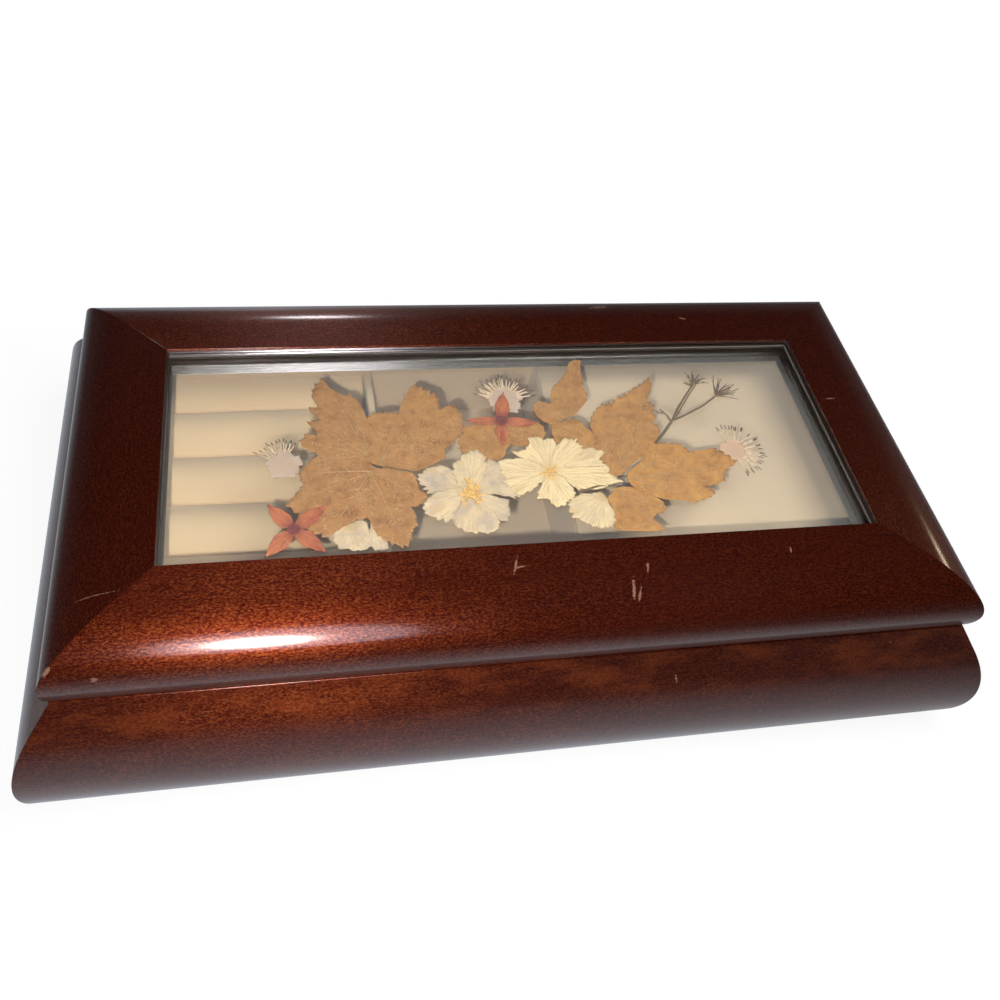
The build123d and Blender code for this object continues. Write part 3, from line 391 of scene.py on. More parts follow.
def mahogany(name, across):
    """Red lacquered wood whose fibres run along X, or along Y where across is true."""
    wood = new_finish(name, Roughness=0.44, Anisotropic=0.72, Anisotropic_Rotation=0.25, IOR=1.6,
                      Specular_IOR_Level=1.0, Coat_Weight=0.6, Coat_Roughness=0.14, Coat_IOR=1.42)
    flecks = grain(wood, across, 0.55, 1.0, 2.3, roughness=0.75)
    pores = grain(wood, across, 0.12, 1.8, 1.6, 2.0)
    blotches = grain(wood, across, 0.02, 0.06, 1.0, 2.0)
    clouds = step_up(wood, grain(wood, across, 0.035, 0.09, 1.0), 0.62, 0.38)
    patches = step_up(wood, grain(wood, across, 0.05, 0.15, 1.2, 4.0, 0.65), 0.42, 0.68)
    stain = ramp(wood, flecks, stain_levels)
    dark = blend_colours(wood, step_up(wood, pores, 0.60, 0.72), stain, (0.012, 0.003, 0.002))
    deep = blend_colours(wood, step_up(wood, blotches, 0.35, 0.7), dark, (0.03, 0.005, 0.003))
    shade = blend_colours(wood, 0.35, dark, deep)
    spot = place_in_mm(wood)
    shade = touched(wood, shade, wear(wood, spot), worn_share, pale_wood)
    level = add(wood, "SeparateXYZ", {0: spot}).outputs["Z"]
    upper_base = product(wood, step_up(wood, level, 28.0, 36.0), step_up(wood, level, 42.1, 41.8))
    shade = touched(wood, shade, product(wood, upper_base, patches), rubbed_share, thin_stain)
    glow = touched(wood, ramp(wood, flecks, glow_levels), clouds, cloud_share, (0.16, 0.014, 0.005))
    glow = blend_colours(wood, step_up(wood, pores, 0.58, 0.72), glow, (0.12, 0.012, 0.006))
    fibres = add(wood, "Tangent", direction_type="UV_MAP", uv_map="along_the_grain").outputs[0]
    plug(wood, "Base Color", shade)
    plug(wood, "Specular Tint", glow)
    plug(wood, "Tangent", fibres)
    plug(wood, "Normal", bump(wood, flecks, 0.35, 0.06))
    return wood


rail_woods = (mahogany("mahogany_along_x", False), mahogany("mahogany_along_y", True))
print("woods:", [wood.name for wood in rail_woods])

# %% [markdown]
# ## Meshes from grids
# Every new piece is a grid of points worked out with numpy: rows along one parameter, columns
# along the other. These helpers join neighbours with four-sided faces, close a direction that runs
# round, and cap the open ends. A piece may be made of several such grids.


# %% Grids
def grid_faces(rows, columns):
    """Quads between neighbours of a grid whose last column joins its first."""
    r, c = np.meshgrid(np.arange(rows - 1), np.arange(columns), indexing="ij")
    beside = (c + 1) % columns
    corners = [r * columns + c, (r + 1) * columns + c, (r + 1) * columns + beside, r * columns + beside]
    return np.stack(corners, axis=-1).reshape(-1, 4).tolist()


def bar_part(points, uv=None):
    """A closed bar from rings of points: rows run along it, columns run round it, both ends capped."""
    rows, columns = points.shape[:2]
    faces = grid_faces(rows, columns)
    faces += [list(range(columns))[::-1], list(range((rows - 1) * columns, rows * columns))]
    return {"points": points.reshape(-1, 3), "faces": faces, "uv": uv}


def face_outwards(mesh):
    """Turns the faces of a closed mesh to look out."""
    shell = bmesh.new()
    shell.from_mesh(mesh)
    bmesh.ops.recalc_face_normals(shell, faces=shell.faces)
    shell.to_mesh(mesh)
    shell.free()


# %% Pieces
def make_piece(name, parts, material, body, replaced=(), crease=35.0, closed=True, values=()):
    """Joins the parts into one object that rides on a body. Edges above crease degrees stay sharp."""
    points = np.concatenate([part["points"] for part in parts])
    starts = np.cumsum([0] + [len(part["points"]) for part in parts])
    faces = []
    for part, start in zip(parts, starts):
        faces += [[index + start for index in face] for face in part["faces"]]
    mesh = bpy.data.meshes.new(name)
    mesh.from_pydata((points * mm).tolist(), [], faces)
    if parts[0]["uv"] is not None:
        uv = np.concatenate([part["uv"] for part in parts])
        corner = np.empty(len(mesh.loops), dtype=np.int32)
        mesh.loops.foreach_get("vertex_index", corner)
        layer = mesh.uv_layers.new(name="along_the_grain")
        layer.data.foreach_set("uv", uv[corner].astype(np.float32).ravel())
    for value in values:
        attribute = mesh.attributes.new(value, "FLOAT", "POINT")
        numbers = np.concatenate([part[value] for part in parts])
        attribute.data.foreach_set("value", numbers.astype(np.float32))
    if closed:
        face_outwards(mesh)
    mesh.shade_smooth()
    mesh.set_sharp_from_angle(angle=np.radians(crease))
    mesh.materials.append(material)
    piece = bpy.data.objects.new(name, mesh)
    bpy.context.scene.collection.objects.link(piece)
    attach(piece, body)
    if replaced:
        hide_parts(*replaced)
    print(name, len(mesh.polygons), "faces")
    return piece


# %% Outlines
def arc(centre, radius, start, end, count):
    """Points on a circle from the start angle to the end angle, in degrees."""
    angle = np.radians(np.linspace(start, end, count))
    return np.stack([centre[0] + radius * np.cos(angle), centre[1] + radius * np.sin(angle)], axis=-1)


def eased(points, radius, steps=4, sharpest=25.0):
    """Each corner of a closed outline becomes a short curve: (1-t)^2 A + 2t(1-t) P + t^2 B."""
    before = np.roll(points, 1, axis=0) - points
    after = np.roll(points, -1, axis=0) - points
    near = np.linalg.norm(before, axis=1)
    far = np.linalg.norm(after, axis=1)
    cosine = (before * after).sum(axis=1) / (near * far)
    sharp = np.degrees(np.arccos(np.clip(-cosine, -1, 1))) > sharpest
    back = points + before * (np.minimum(radius, near * 0.45) / near)[:, None]
    front = points + after * (np.minimum(radius, far * 0.45) / far)[:, None]
    t = np.linspace(0, 1, steps)[None, :, None]
    curve = (1 - t) ** 2 * back[:, None] + 2 * t * (1 - t) * points[:, None] + t ** 2 * front[:, None]
    curve = np.where(sharp[:, None, None], curve, points[:, None])
    kept = sharp[:, None] | (np.arange(steps) == 0)[None, :]
    return curve[kept]


# %% [markdown]
# ## Moulded rails
# A router cuts the rails to one moulding and a saw mitres their ends, so a rail is a profile
# carried along the box: a point that stands out by o reaches as far as the half length plus o,
# which makes the 45 degree ends. The last step at each end draws the section in by a hair, for the
# fine line that shows at every mitre.

# %% Levels
half_length, half_width = 120.0, 60.75
glass_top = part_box("window_glass")[1][2] / mm
lower_pane_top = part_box("backing_glass")[1][2] / mm
lid_underside, base_top, lining_back = 42.3, 42.0, -13.0
wall_inside, rebate_edge, pane_edge = -9.0, -25.4, -19.4
print("glass top:", round(glass_top, 2), "lower pane top:", round(lower_pane_top, 2))


# %% Base moulding
def base_moulding():
    """Outward distance and height: a straight flare, a wide bulge, a tight heel and the stepped inside."""
    flare_turn, flare_length, flare_top = 38.5, 8.0, -1.1
    bulge_radius, heel_radius, foot, ledge = 31.0, 10.0, 1.0, 15.0
    cosine, sine = np.cos(np.radians(flare_turn)), np.sin(np.radians(flare_turn))
    flare_foot = np.array([flare_top + flare_length * sine, base_top - flare_length * cosine])
    bulge_centre = flare_foot - bulge_radius * np.array([cosine, sine])
    heel_height = foot + heel_radius
    heel_turn = np.degrees(np.arcsin((bulge_centre[1] - heel_height) / (bulge_radius - heel_radius)))
    reach = (bulge_radius - heel_radius) * np.cos(np.radians(heel_turn))
    bulge = arc(bulge_centre, bulge_radius, flare_turn, -heel_turn, 30)
    heel = arc((bulge_centre[0] + reach, heel_height), heel_radius, -heel_turn, -90, 16)[1:]
    inside = np.array([(wall_inside, foot), (wall_inside, ledge), (lining_back, ledge),
                       (lining_back, base_top), (flare_top, base_top)])
    return eased(np.concatenate([bulge, heel, inside]), 0.2)


# %% Lid moulding
def lid_moulding():
    """A bead that rolls under, a round nose, a wide shoulder, a nearly flat top and the glass rebate."""
    nose_height, bead_radius, bead_turn = 48.3, 13.557, 26.27
    nose_radius, nose_turn, shoulder_radius = 8.6, 58, 23.6
    edge_ease, top_slope = 0.3, 3
    under = arc((-bead_radius, nose_height), bead_radius, -bead_turn, 0, 10)
    nose = arc((-nose_radius, nose_height), nose_radius, 0, nose_turn, 14)[1:]
    bearing = np.radians(nose_turn)
    shoulder_centre = nose[-1] - shoulder_radius * np.array([np.cos(bearing), np.sin(bearing)])
    shoulder = arc(shoulder_centre, shoulder_radius, nose_turn, 90 - top_slope, 14)[1:]
    ease_centre = rebate_edge + edge_ease
    edge = shoulder[-1, 1] + (shoulder[-1, 0] - ease_centre) * np.tan(np.radians(top_slope))
    ease = arc((ease_centre, edge - edge_ease), edge_ease, 90, 180, 6)
    inside = np.array([(rebate_edge, glass_top), (pane_edge, glass_top), (pane_edge, lid_underside)])
    return eased(np.concatenate([under, nose, shoulder, ease, inside]), 0.3)


# %% Mitred rails
def rail_part(profile, half_run, half_across, quarter_turns, groove=0.05, gap=0.15):
    """The profile becomes the front rail, and quarter turns about Z carry it to the other sides."""
    before, after = np.roll(profile, 1, axis=0), np.roll(profile, -1, axis=0)
    run = after - before
    inward = np.stack([run[:, 1], -run[:, 0]], axis=1) / np.linalg.norm(run, axis=1)[:, None]
    area = 0.5 * np.sum(profile[:, 0] * after[:, 1] - profile[:, 1] * after[:, 0])
    inward *= np.sign(-area)
    lengths = np.cumsum(np.linalg.norm(np.diff(profile, axis=0, append=profile[:1]), axis=1))
    rows, uv = [], []
    for side, step, sunk in ((-1, 0.0, groove), (-1, gap, 0.0), (1, gap, 0.0), (1, 0.0, groove)):
        drawn = profile + inward * sunk
        x = side * (half_run + profile[:, 0] - step)
        rows.append(np.stack([x, -half_across - drawn[:, 0], drawn[:, 1]], axis=1))
        uv.append(np.stack([x, lengths], axis=1) * mm)
    x, y, z = np.moveaxis(np.stack(rows), -1, 0)
    cosine, sine = np.cos(quarter_turns * np.pi / 2), np.sin(quarter_turns * np.pi / 2)
    points = np.stack([x * cosine - y * sine, x * sine + y * cosine, z], axis=-1)
    return bar_part(points, np.concatenate(uv))


def four_rails(prefix, profile, body, finishes, node_name=None):
    """The profile on all four sides, with the first finish along X and the second along Y."""
    made = {}
    for quarter_turns, side in enumerate(("front", "right", "back", "left")):
        turned = quarter_turns % 2
        run, across = (half_width, half_length) if turned else (half_length, half_width)
        part = rail_part(profile, run, across, quarter_turns)
        replaced = [node_name % side] if node_name else ()
        made[side] = make_piece(prefix + side, [part], finishes[turned], body, replaced)
    return made


# %% Base and lid rails
base_rails = four_rails("base_moulding_", base_moulding(), "base", rail_woods, "base_%s_rail")
lid_rails = four_rails("lid_moulding_", lid_moulding(), "lid", rail_woods, "lid_%s_rail")

# %% [markdown]
# The back rails are mortised for the hinges: a flat recess for each leaf and a round one for the
# knuckle. Those are cut with a Boolean modifier, which is then applied.

# %% Hinge mortises
hinge_x, hinge_y, hinge_z = 72.0, 61.6, 42.15
leaf_half, leaf_reach, knuckle_room = 13.0, 11.0, 2.1


def cut(piece, cutters):
    """The piece less the cutters, with its place, body and materials kept."""
    for cutter in cutters:
        modifier = piece.modifiers.new("mortise", "BOOLEAN")
        modifier.object = cutter
        modifier.operation = "DIFFERENCE"
        modifier.solver = "EXACT"
    bpy.context.view_layer.update()
    solid = bpy.data.meshes.new_from_object(piece.evaluated_get(bpy.context.evaluated_depsgraph_get()))
    piece.modifiers.clear()
    piece.data = solid
    for cutter in cutters:
        bpy.data.objects.remove(cutter)


def cutter_bar(x_low, x_high, outline):
    """A bar along X whose section is the outline in Y and Z."""
    rings = [np.column_stack([np.full(len(outline), x), outline]) for x in (x_low, x_high)]
    part = bar_part(np.stack(rings))
    mesh = bpy.data.meshes.new("cutter")
    mesh.from_pydata((part["points"] * mm).tolist(), [], part["faces"])
    face_outwards(mesh)
    made = bpy.data.objects.new("cutter", mesh)
    bpy.context.scene.collection.objects.link(made)
    return made


def mortises(low, high):
    """A flat recess between two heights and a round one for each of the two hinges."""
    cutters = []
    y_low, y_high = hinge_y - leaf_reach, hinge_y + 4
    recess = np.array([(y_low, low), (y_high, low), (y_high, high), (y_low, high)])
    knuckle = arc((hinge_y, hinge_z), knuckle_room, 0, 348.75, 32)
    for x in (-hinge_x, hinge_x):
        cutters.append(cutter_bar(x - leaf_half, x + leaf_half, recess))
        cutters.append(cutter_bar(x - leaf_half - 0.5, x + leaf_half + 0.5, knuckle))
    return cutters


for rail, low, high in ((base_rails["back"], 41.2, 45.0), (lid_rails["back"], 40.0, 43.1)):
    cut(rail, mortises(low, high))
    print(rail.name, len(rail.data.polygons), "faces after the mortises")

# %% Even shading
for rail in (*base_rails.values(), *lid_rails.values()):
    # Wide faces keep their own direction, so a flat face next to a small easing stays flat
    modifier = rail.modifiers.new("even_shading", "WEIGHTED_NORMAL")
    modifier.keep_sharp = True
    modifier.weight = 100
print("evened:", len(base_rails) + len(lid_rails), "rails")

# %% [markdown]
# ## Suede
# Card boards wrapped in cream suede line the box, and velour covers the ring pad. Short nap has no
# gloss: it shows as fine mottling, a soft sheen at grazing angles and a fine bump.


# %% Suede
def suede(name, colour, shade, nap=0.5):
    """Short nap: fine mottling in the colour, a soft sheen and a fine bump."""
    cloth = new_finish(name, Roughness=0.95, Specular_IOR_Level=0.15, Sheen_Weight=0.25,
                       Sheen_Roughness=0.6)
    fine = noise(cloth, place_in_mm(cloth), 3.2, 4.0, 0.7)
    wide = noise(cloth, place_in_mm(cloth), 0.06)
    tint = blend_colours(cloth, step_up(cloth, fine, 0.3, 0.7), shade, colour)
    worn = blend_colours(cloth, step_up(cloth, wide, 0.35, 0.75), tint, tuple(0.93 * c for c in colour))
    plug(cloth, "Base Color", blend_colours(cloth, 0.5, tint, worn))
    plug(cloth, "Normal", bump(cloth, fine, nap, 0.12))
    return cloth


lining_suede = suede("lining_suede", (0.74, 0.56, 0.39), (0.66, 0.48, 0.32))
pad_suede = suede("ring_pad_velour", (0.78, 0.57, 0.36), (0.70, 0.49, 0.29))
# Painted highlight: a pale grey strip for the bright edge of the pane
glass_edge_highlight = suede("glass_edge_painted_highlight", (0.24, 0.23, 0.215), (0.13, 0.125, 0.115))
black_felt = suede("black_felt", (0.05, 0.045, 0.045), (0.025, 0.022, 0.022), nap=0.9)
print("cloths:", [cloth.name for cloth in (lining_suede, pad_suede, glass_edge_highlight, black_felt)])

# %% [markdown]
# ## Dark inner edges
# The strips that hold the glass and the inside of the lid are painted nearly black with a brush.
# The paint dried in ridges along each strip, so it glints in broken silver bands. A pale grey line in the
# joint between glass and wood is a painted highlight for the bright edge of the pane.


# %% Glass stops
def brushed_paint(name, across):
    paint = new_finish(name, Roughness=0.3, Coat_Weight=0.8, Coat_Roughness=0.11, Specular_IOR_Level=0.6)
    dust = noise(paint, place_in_mm(paint), 2.5, 2.0)
    colour = ramp(paint, dust, [(0.35, (0.018, 0.012, 0.010)), (0.75, (0.036, 0.026, 0.022))])
    waved = bump(paint, grain(paint, across, 0.45, 1.6, 1.1), 0.6, 0.12)
    plug(paint, "Base Color", colour)
    plug(paint, "Normal", waved)
    plug(paint, "Coat Normal", waved)
    return paint


def ridged_face(low, high, ridges, rise):
    """Brush ridges on a flat face, from the top down: each leans out by rise and steps back."""
    pitch = (high - low) / ridges
    top = high - pitch * np.arange(ridges)
    across = np.tile([rebate_edge, rebate_edge - 0.5 * rise, rebate_edge - rise, rebate_edge], ridges)
    down = np.stack([top, top - 0.38 * rise, top - 0.85 * rise, top - 0.85 * rise - 0.05], axis=1).ravel()
    return np.append(np.stack([across, down], axis=1), [(rebate_edge, low)], axis=0)


strip_back, lip_back, edge_line_height, hair = -19.7, -25.2, 0.2, 0.02
paints = (brushed_paint("stop_paint_along_x", False), brushed_paint("stop_paint_along_y", True))
stop_low, stop_high = (corner[2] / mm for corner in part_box("glass_stop_front"))
lip_low, lip_top = glass_top + hair, lid_moulding()[:, 1].max() - 0.9
stop_face = ridged_face(stop_low + 0.2, stop_high - 0.2, 4, 0.5)
lip_face = ridged_face(lip_low, lip_top, 2, 0.34)
stop_moulding = np.concatenate([stop_face, [(strip_back, stop_low), (strip_back, stop_high)]])
lip_paint = np.concatenate([lip_face, [(lip_back, lip_low), (lip_back, lip_top)]])
edge_line_top = glass_top + edge_line_height
seam = np.array([(-25.7, glass_top), (lip_back, glass_top), (lip_back, edge_line_top), (-25.6, edge_line_top)])
four_rails("glass_strip_", stop_moulding, "lid", paints, "glass_stop_%s")
four_rails("lip_paint_", lip_paint, "lid", paints)
# The pale strip in the glass joint is a painted highlight
four_rails("glass_joint_", eased(seam, 0.05), "lid", (glass_edge_highlight, glass_edge_highlight))

# %% [markdown]
# ## Suede linings
# A board is a block with soft edges: a rounded rectangle carried along its longest side, drawn in
# over the last step at each end.


# %% Soft boards
def block_part(low, high, ease, steps=5):
    """A rounded rectangle carried along the longest side, its ends drawn in on a quarter circle."""
    run = int(np.argmax(high - low))
    others = [axis for axis in range(3) if axis != run]
    angle = np.linspace(0, np.pi / 2, steps)
    inset, start = ease * (1 - np.sin(angle)), ease * (1 - np.cos(angle))
    quarter = np.stack([np.cos(angle), np.sin(angle)], axis=1)
    rows = []
    for place, pull in zip((*(low[run] + start), *(high[run] - start)[::-1]), (*inset, *inset[::-1])):
        ring = []
        for index, signs in enumerate(((1, 1), (-1, 1), (-1, -1), (1, -1))):
            bend = quarter[::-1] if index % 2 else quarter
            ring.append(signs * ((high - low)[others] / 2 - ease) + signs * bend * (ease - pull))
        ring = np.concatenate(ring) + (low[others] + high[others]) / 2
        row = np.empty((len(ring), 3))
        row[:, run] = place
        row[:, others] = ring
        rows.append(row)
    return bar_part(np.stack(rows))


def node_box(node):
    """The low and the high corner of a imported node, in mm."""
    return (np.array(corner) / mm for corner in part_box(node))


linings = ["lining_front", "lining_back", "lining_left", "lining_right", "lining_floor"]
for ease, boards in ((0.45, linings), (0.8, ["divider_left", "divider_right", "movement_cover"])):
    for node in boards:
        board = block_part(*node_box(node), ease)
        make_piece("suede_" + node, [board], lining_suede, "base", [node])

# %% [markdown]
# ## Ring pad
# Foam rods wrapped in velour lie side by side, and rings push into the slits between them. The
# pad's section is a row of crowns: each roll rises as a flat arch from one slit to the next, and
# the cloth dives into the slit between two rolls.


# %% Ring pad
def ring_pad_part():
    """A roll's height is crown - h a^2 with a from -1 to 1 across it. Its ends bend on a quarter circle."""
    low, high = node_box("ring_pad")
    crown, roll_height, slit_depth, slit_half, pitch, first_seam = high[2], 4.6, 5.5, 0.12, 17.3, 36.8
    end_round, end_steps, run_steps = 1.1, 7, 22
    seams = first_seam - pitch * np.arange(-1, 6)
    t = np.linspace(-1, 1, 33)
    across = np.sign(t) * (1 - (1 - np.abs(t)) ** 1.35)
    arch = crown - roll_height * np.abs(across) ** 2.0
    arch[[0, -1]] = crown - roll_height - slit_depth
    middles = (seams[:-1] + seams[1:]) / 2
    y = (middles[:, None] - across[None, :] * (pitch / 2 - slit_half)).ravel()
    z = np.tile(arch, len(middles))
    inside = (y < high[1]) & (y > low[1])
    y, z = y[inside], z[inside]
    y = np.concatenate([[high[1]], [high[1]], y, [low[1]], [low[1]]])
    z = np.concatenate([[low[2]], [z[0] - 1.5], z, [z[-1] - 1.5], [low[2]]])
    bend = np.linspace(0, np.pi / 2, end_steps)
    ends = end_round * (1 - np.cos(bend))
    middle_run = np.linspace(low[0] + end_round, high[0] - end_round, run_steps + 2)[1:-1]
    along = np.concatenate([low[0] + ends, middle_run, high[0] - ends[::-1]])
    drop = np.concatenate([1 - np.sin(bend), np.zeros(run_steps), 1 - np.sin(bend)[::-1]])
    sag = 0.18 * np.sin(along[:, None] * 0.11 + y[None, :] * 0.07)
    height = z[None, :] - end_round * drop[:, None] * (z > low[2] + 0.1)[None, :]
    height = height + sag * (z > crown - 5)[None, :] * (1 - drop[:, None])
    along, y = np.broadcast_arrays(along[:, None], y[None, :])
    return bar_part(np.stack([along, y, height], axis=-1))


ring_pad = make_piece("ring_pad_rolls", [ring_pad_part()], pad_suede, "base", ["ring_pad"],
                      crease=70)

# %% [markdown]
# ## Panes of glass
# Two thin panes with ground edges. The glass lets lamps through by way of Light Path's shadow ray,
# because a path tracer would otherwise need very many samples to light what lies below.

# %% Panes
glass = new_finish("clear_glass", Base_Color=(0.99, 1.0, 0.99, 1), Roughness=0.0, IOR=1.45,
                   Transmission_Weight=1.0)
glass_tree = glass.node_tree
clear = add(glass, "BsdfTransparent", {"Color": (0.97, 0.98, 0.97, 1)}).outputs[0]
glass_path = add(glass, "LightPath").outputs
through = calculate(glass, "MAXIMUM", glass_path["Is Shadow Ray"], glass_path["Is Diffuse Ray"])
smear = noise(glass, place_in_mm(glass), 0.08, 4.0)
plug(glass, "Roughness", ramp(glass, smear, [(0.4, (0.0, 0.0, 0.0)), (0.8, (0.02, 0.02, 0.02))]))
shader = glass_tree.nodes["Principled BSDF"].outputs[0]
glass_mix = add(glass, "MixShader", {0: through, 1: shader, 2: clear}).outputs[0]
glass_tree.links.new(glass_mix, glass_tree.nodes["Material Output"].inputs["Surface"])

for node in ("window_glass", "backing_glass"):
    pane = block_part(*node_box(node), 0.25, 3)
    make_piece("pane_" + node, [pane], glass, "lid", [node], crease=12)

# %% [markdown]
# ## Pressed leaves
# The window's dried leaves and flowers were gathered, pressed and laid out by hand. A leaf is flat,
# so its rim says nearly everything: a smooth line through a few points, spread as a fan from the
# place where its veins meet. All sheets share one gentle ripple, so they overlap in layers, as thin
# as paper, and never run through each other. How far each point lies from a vein is kept as an
# attribute, and the material shades the veins from it.


# %% Fans
def smooth_line(points, per_step=5):
    """A Catmull-Rom line through a closed row of points, with per_step points on each stretch."""
    points = np.array(points, float)
    p0, p1, p2, p3 = (np.roll(points, shift, axis=0)[:, None] for shift in (1, 0, -1, -2))
    t = (np.arange(per_step) / per_step)[None, :, None]
    square, cube = 2 * p0 - 5 * p1 + 4 * p2 - p3, 3 * p1 - p0 - 3 * p2 + p3
    return (0.5 * (2 * p1 + (p2 - p0) * t + square * t ** 2 + cube * t ** 3)).reshape(-1, 2)


def run_along(line):
    """How far along a closed line the end of each stretch lies."""
    return np.cumsum(np.linalg.norm(np.roll(line, -1, axis=0) - line, axis=1))


def wave(length, wavelength, phase=0.0):
    return np.sin(2 * np.pi * length / wavelength + phase)


def ripple(x, y):
    """The shared wave of all pressed sheets, in mm."""
    return 0.05 * np.sin(0.55 * x + 0.3 * y) + 0.04 * np.sin(0.2 * x - 0.7 * y + 1)


def fan_part(rim, heart, level, rows=14, centre=None, number=0.0):
    """A sheet: heart + s (rim - heart) for s from 0 to 1. Its UV is angle and distance about the centre."""
    heart = np.array(heart, float)
    offset = np.array(rim, float) - heart
    area = np.sum(offset[:, 0] * np.roll(offset[:, 1], -1) - offset[:, 1] * np.roll(offset[:, 0], -1))
    offset = offset if area > 0 else offset[::-1]
    radius = np.linalg.norm(offset, axis=1)
    offset, radius = (np.roll(row, -int(np.argmin(radius)), axis=0) for row in (offset, radius))
    angle = np.unwrap(np.arctan2(offset[:, 1], offset[:, 0]))
    angle = 0.5 * (np.maximum.accumulate(angle) + np.minimum.accumulate(angle[::-1])[::-1])
    rim = np.stack([radius * np.cos(angle), radius * np.sin(angle)], axis=1)
    s = (np.arange(1, rows + 1) / rows)[:, None, None]
    flat = heart + s * rim[None]
    x, y = flat[..., 0], flat[..., 1]
    points = np.stack([x, y, lower_pane_top + level + ripple(x, y)], axis=-1).reshape(-1, 3)
    faces = grid_faces(rows, len(rim)) + [list(range(len(rim)))]
    about = flat - (heart if centre is None else np.array(centre, float))
    uv = np.stack([np.arctan2(about[..., 1], about[..., 0]), np.linalg.norm(about, axis=-1) * 0.1], axis=-1)
    numbers = np.full(len(points), number)
    return {"points": points, "faces": faces, "uv": uv.reshape(-1, 2), "number": numbers}


# %% Veins
def distance_to_lines(points, starts, ends):
    """From each point to the nearest line piece: |p - a - h (b - a)| with h held between 0 and 1."""
    along = ends - starts
    offset = points[:, None, :] - starts[None]
    h = np.clip((offset * along).sum(-1) / (along * along).sum(-1), 0, 1)
    return np.linalg.norm(offset - h[..., None] * along, axis=-1).min(axis=1)


branch_turn = 38
branch_shares = (0.28, 0.42, 0.56, 0.7, 0.82)
veins_per_lobe = 1 + 2 * len(branch_shares)


def veins(heart, tips):
    """A main vein to each lobe's tip, and side veins that leave it in pairs to both sides."""
    starts, ends = [], []
    for tip in np.array(tips, float):
        run = tip - heart
        starts.append(np.array(heart, float))
        ends.append(heart + 0.93 * run)
        for share in branch_shares:
            for side in (-1, 1):
                bend = np.radians(branch_turn * side)
                cosine, sine = np.cos(bend), np.sin(bend)
                branch = np.array([run[0] * cosine - run[1] * sine, run[0] * sine + run[1] * cosine])
                starts.append(heart + share * run)
                ends.append(heart + share * run + branch * 0.34 * (1 - share) ** 0.7)
    return np.array(starts), np.array(ends)


def leaf_part(outline, heart, tips, level, number):
    """A fan whose rim is waved by small teeth, with each point's distance to the nearest vein."""
    rim, heart = smooth_line(outline, 10), np.array(heart, float)
    length = run_along(rim)
    teeth = 0.016 * wave(length, 2.3) + 0.010 * wave(length, 1.3, 2 * np.sin(length / 5))
    part = fan_part(heart + (rim - heart) * (1 + teeth)[:, None], heart, level, rows=22, number=number)
    part["to_vein"] = distance_to_lines(part["points"][:, :2], *veins(heart, tips))
    return part


# %% Thin sheets
def thin_sheets(name, parts, finish, replaced=(), values=("number",)):
    """Sheets under the glass that ride on the lid. They get their thickness downwards."""
    piece = make_piece(name, parts, finish, "lid", replaced, closed=False, values=values)
    modifier = piece.modifiers.new("thickness", "SOLIDIFY")
    modifier.thickness = 0.06 * mm
    modifier.offset = -1.0


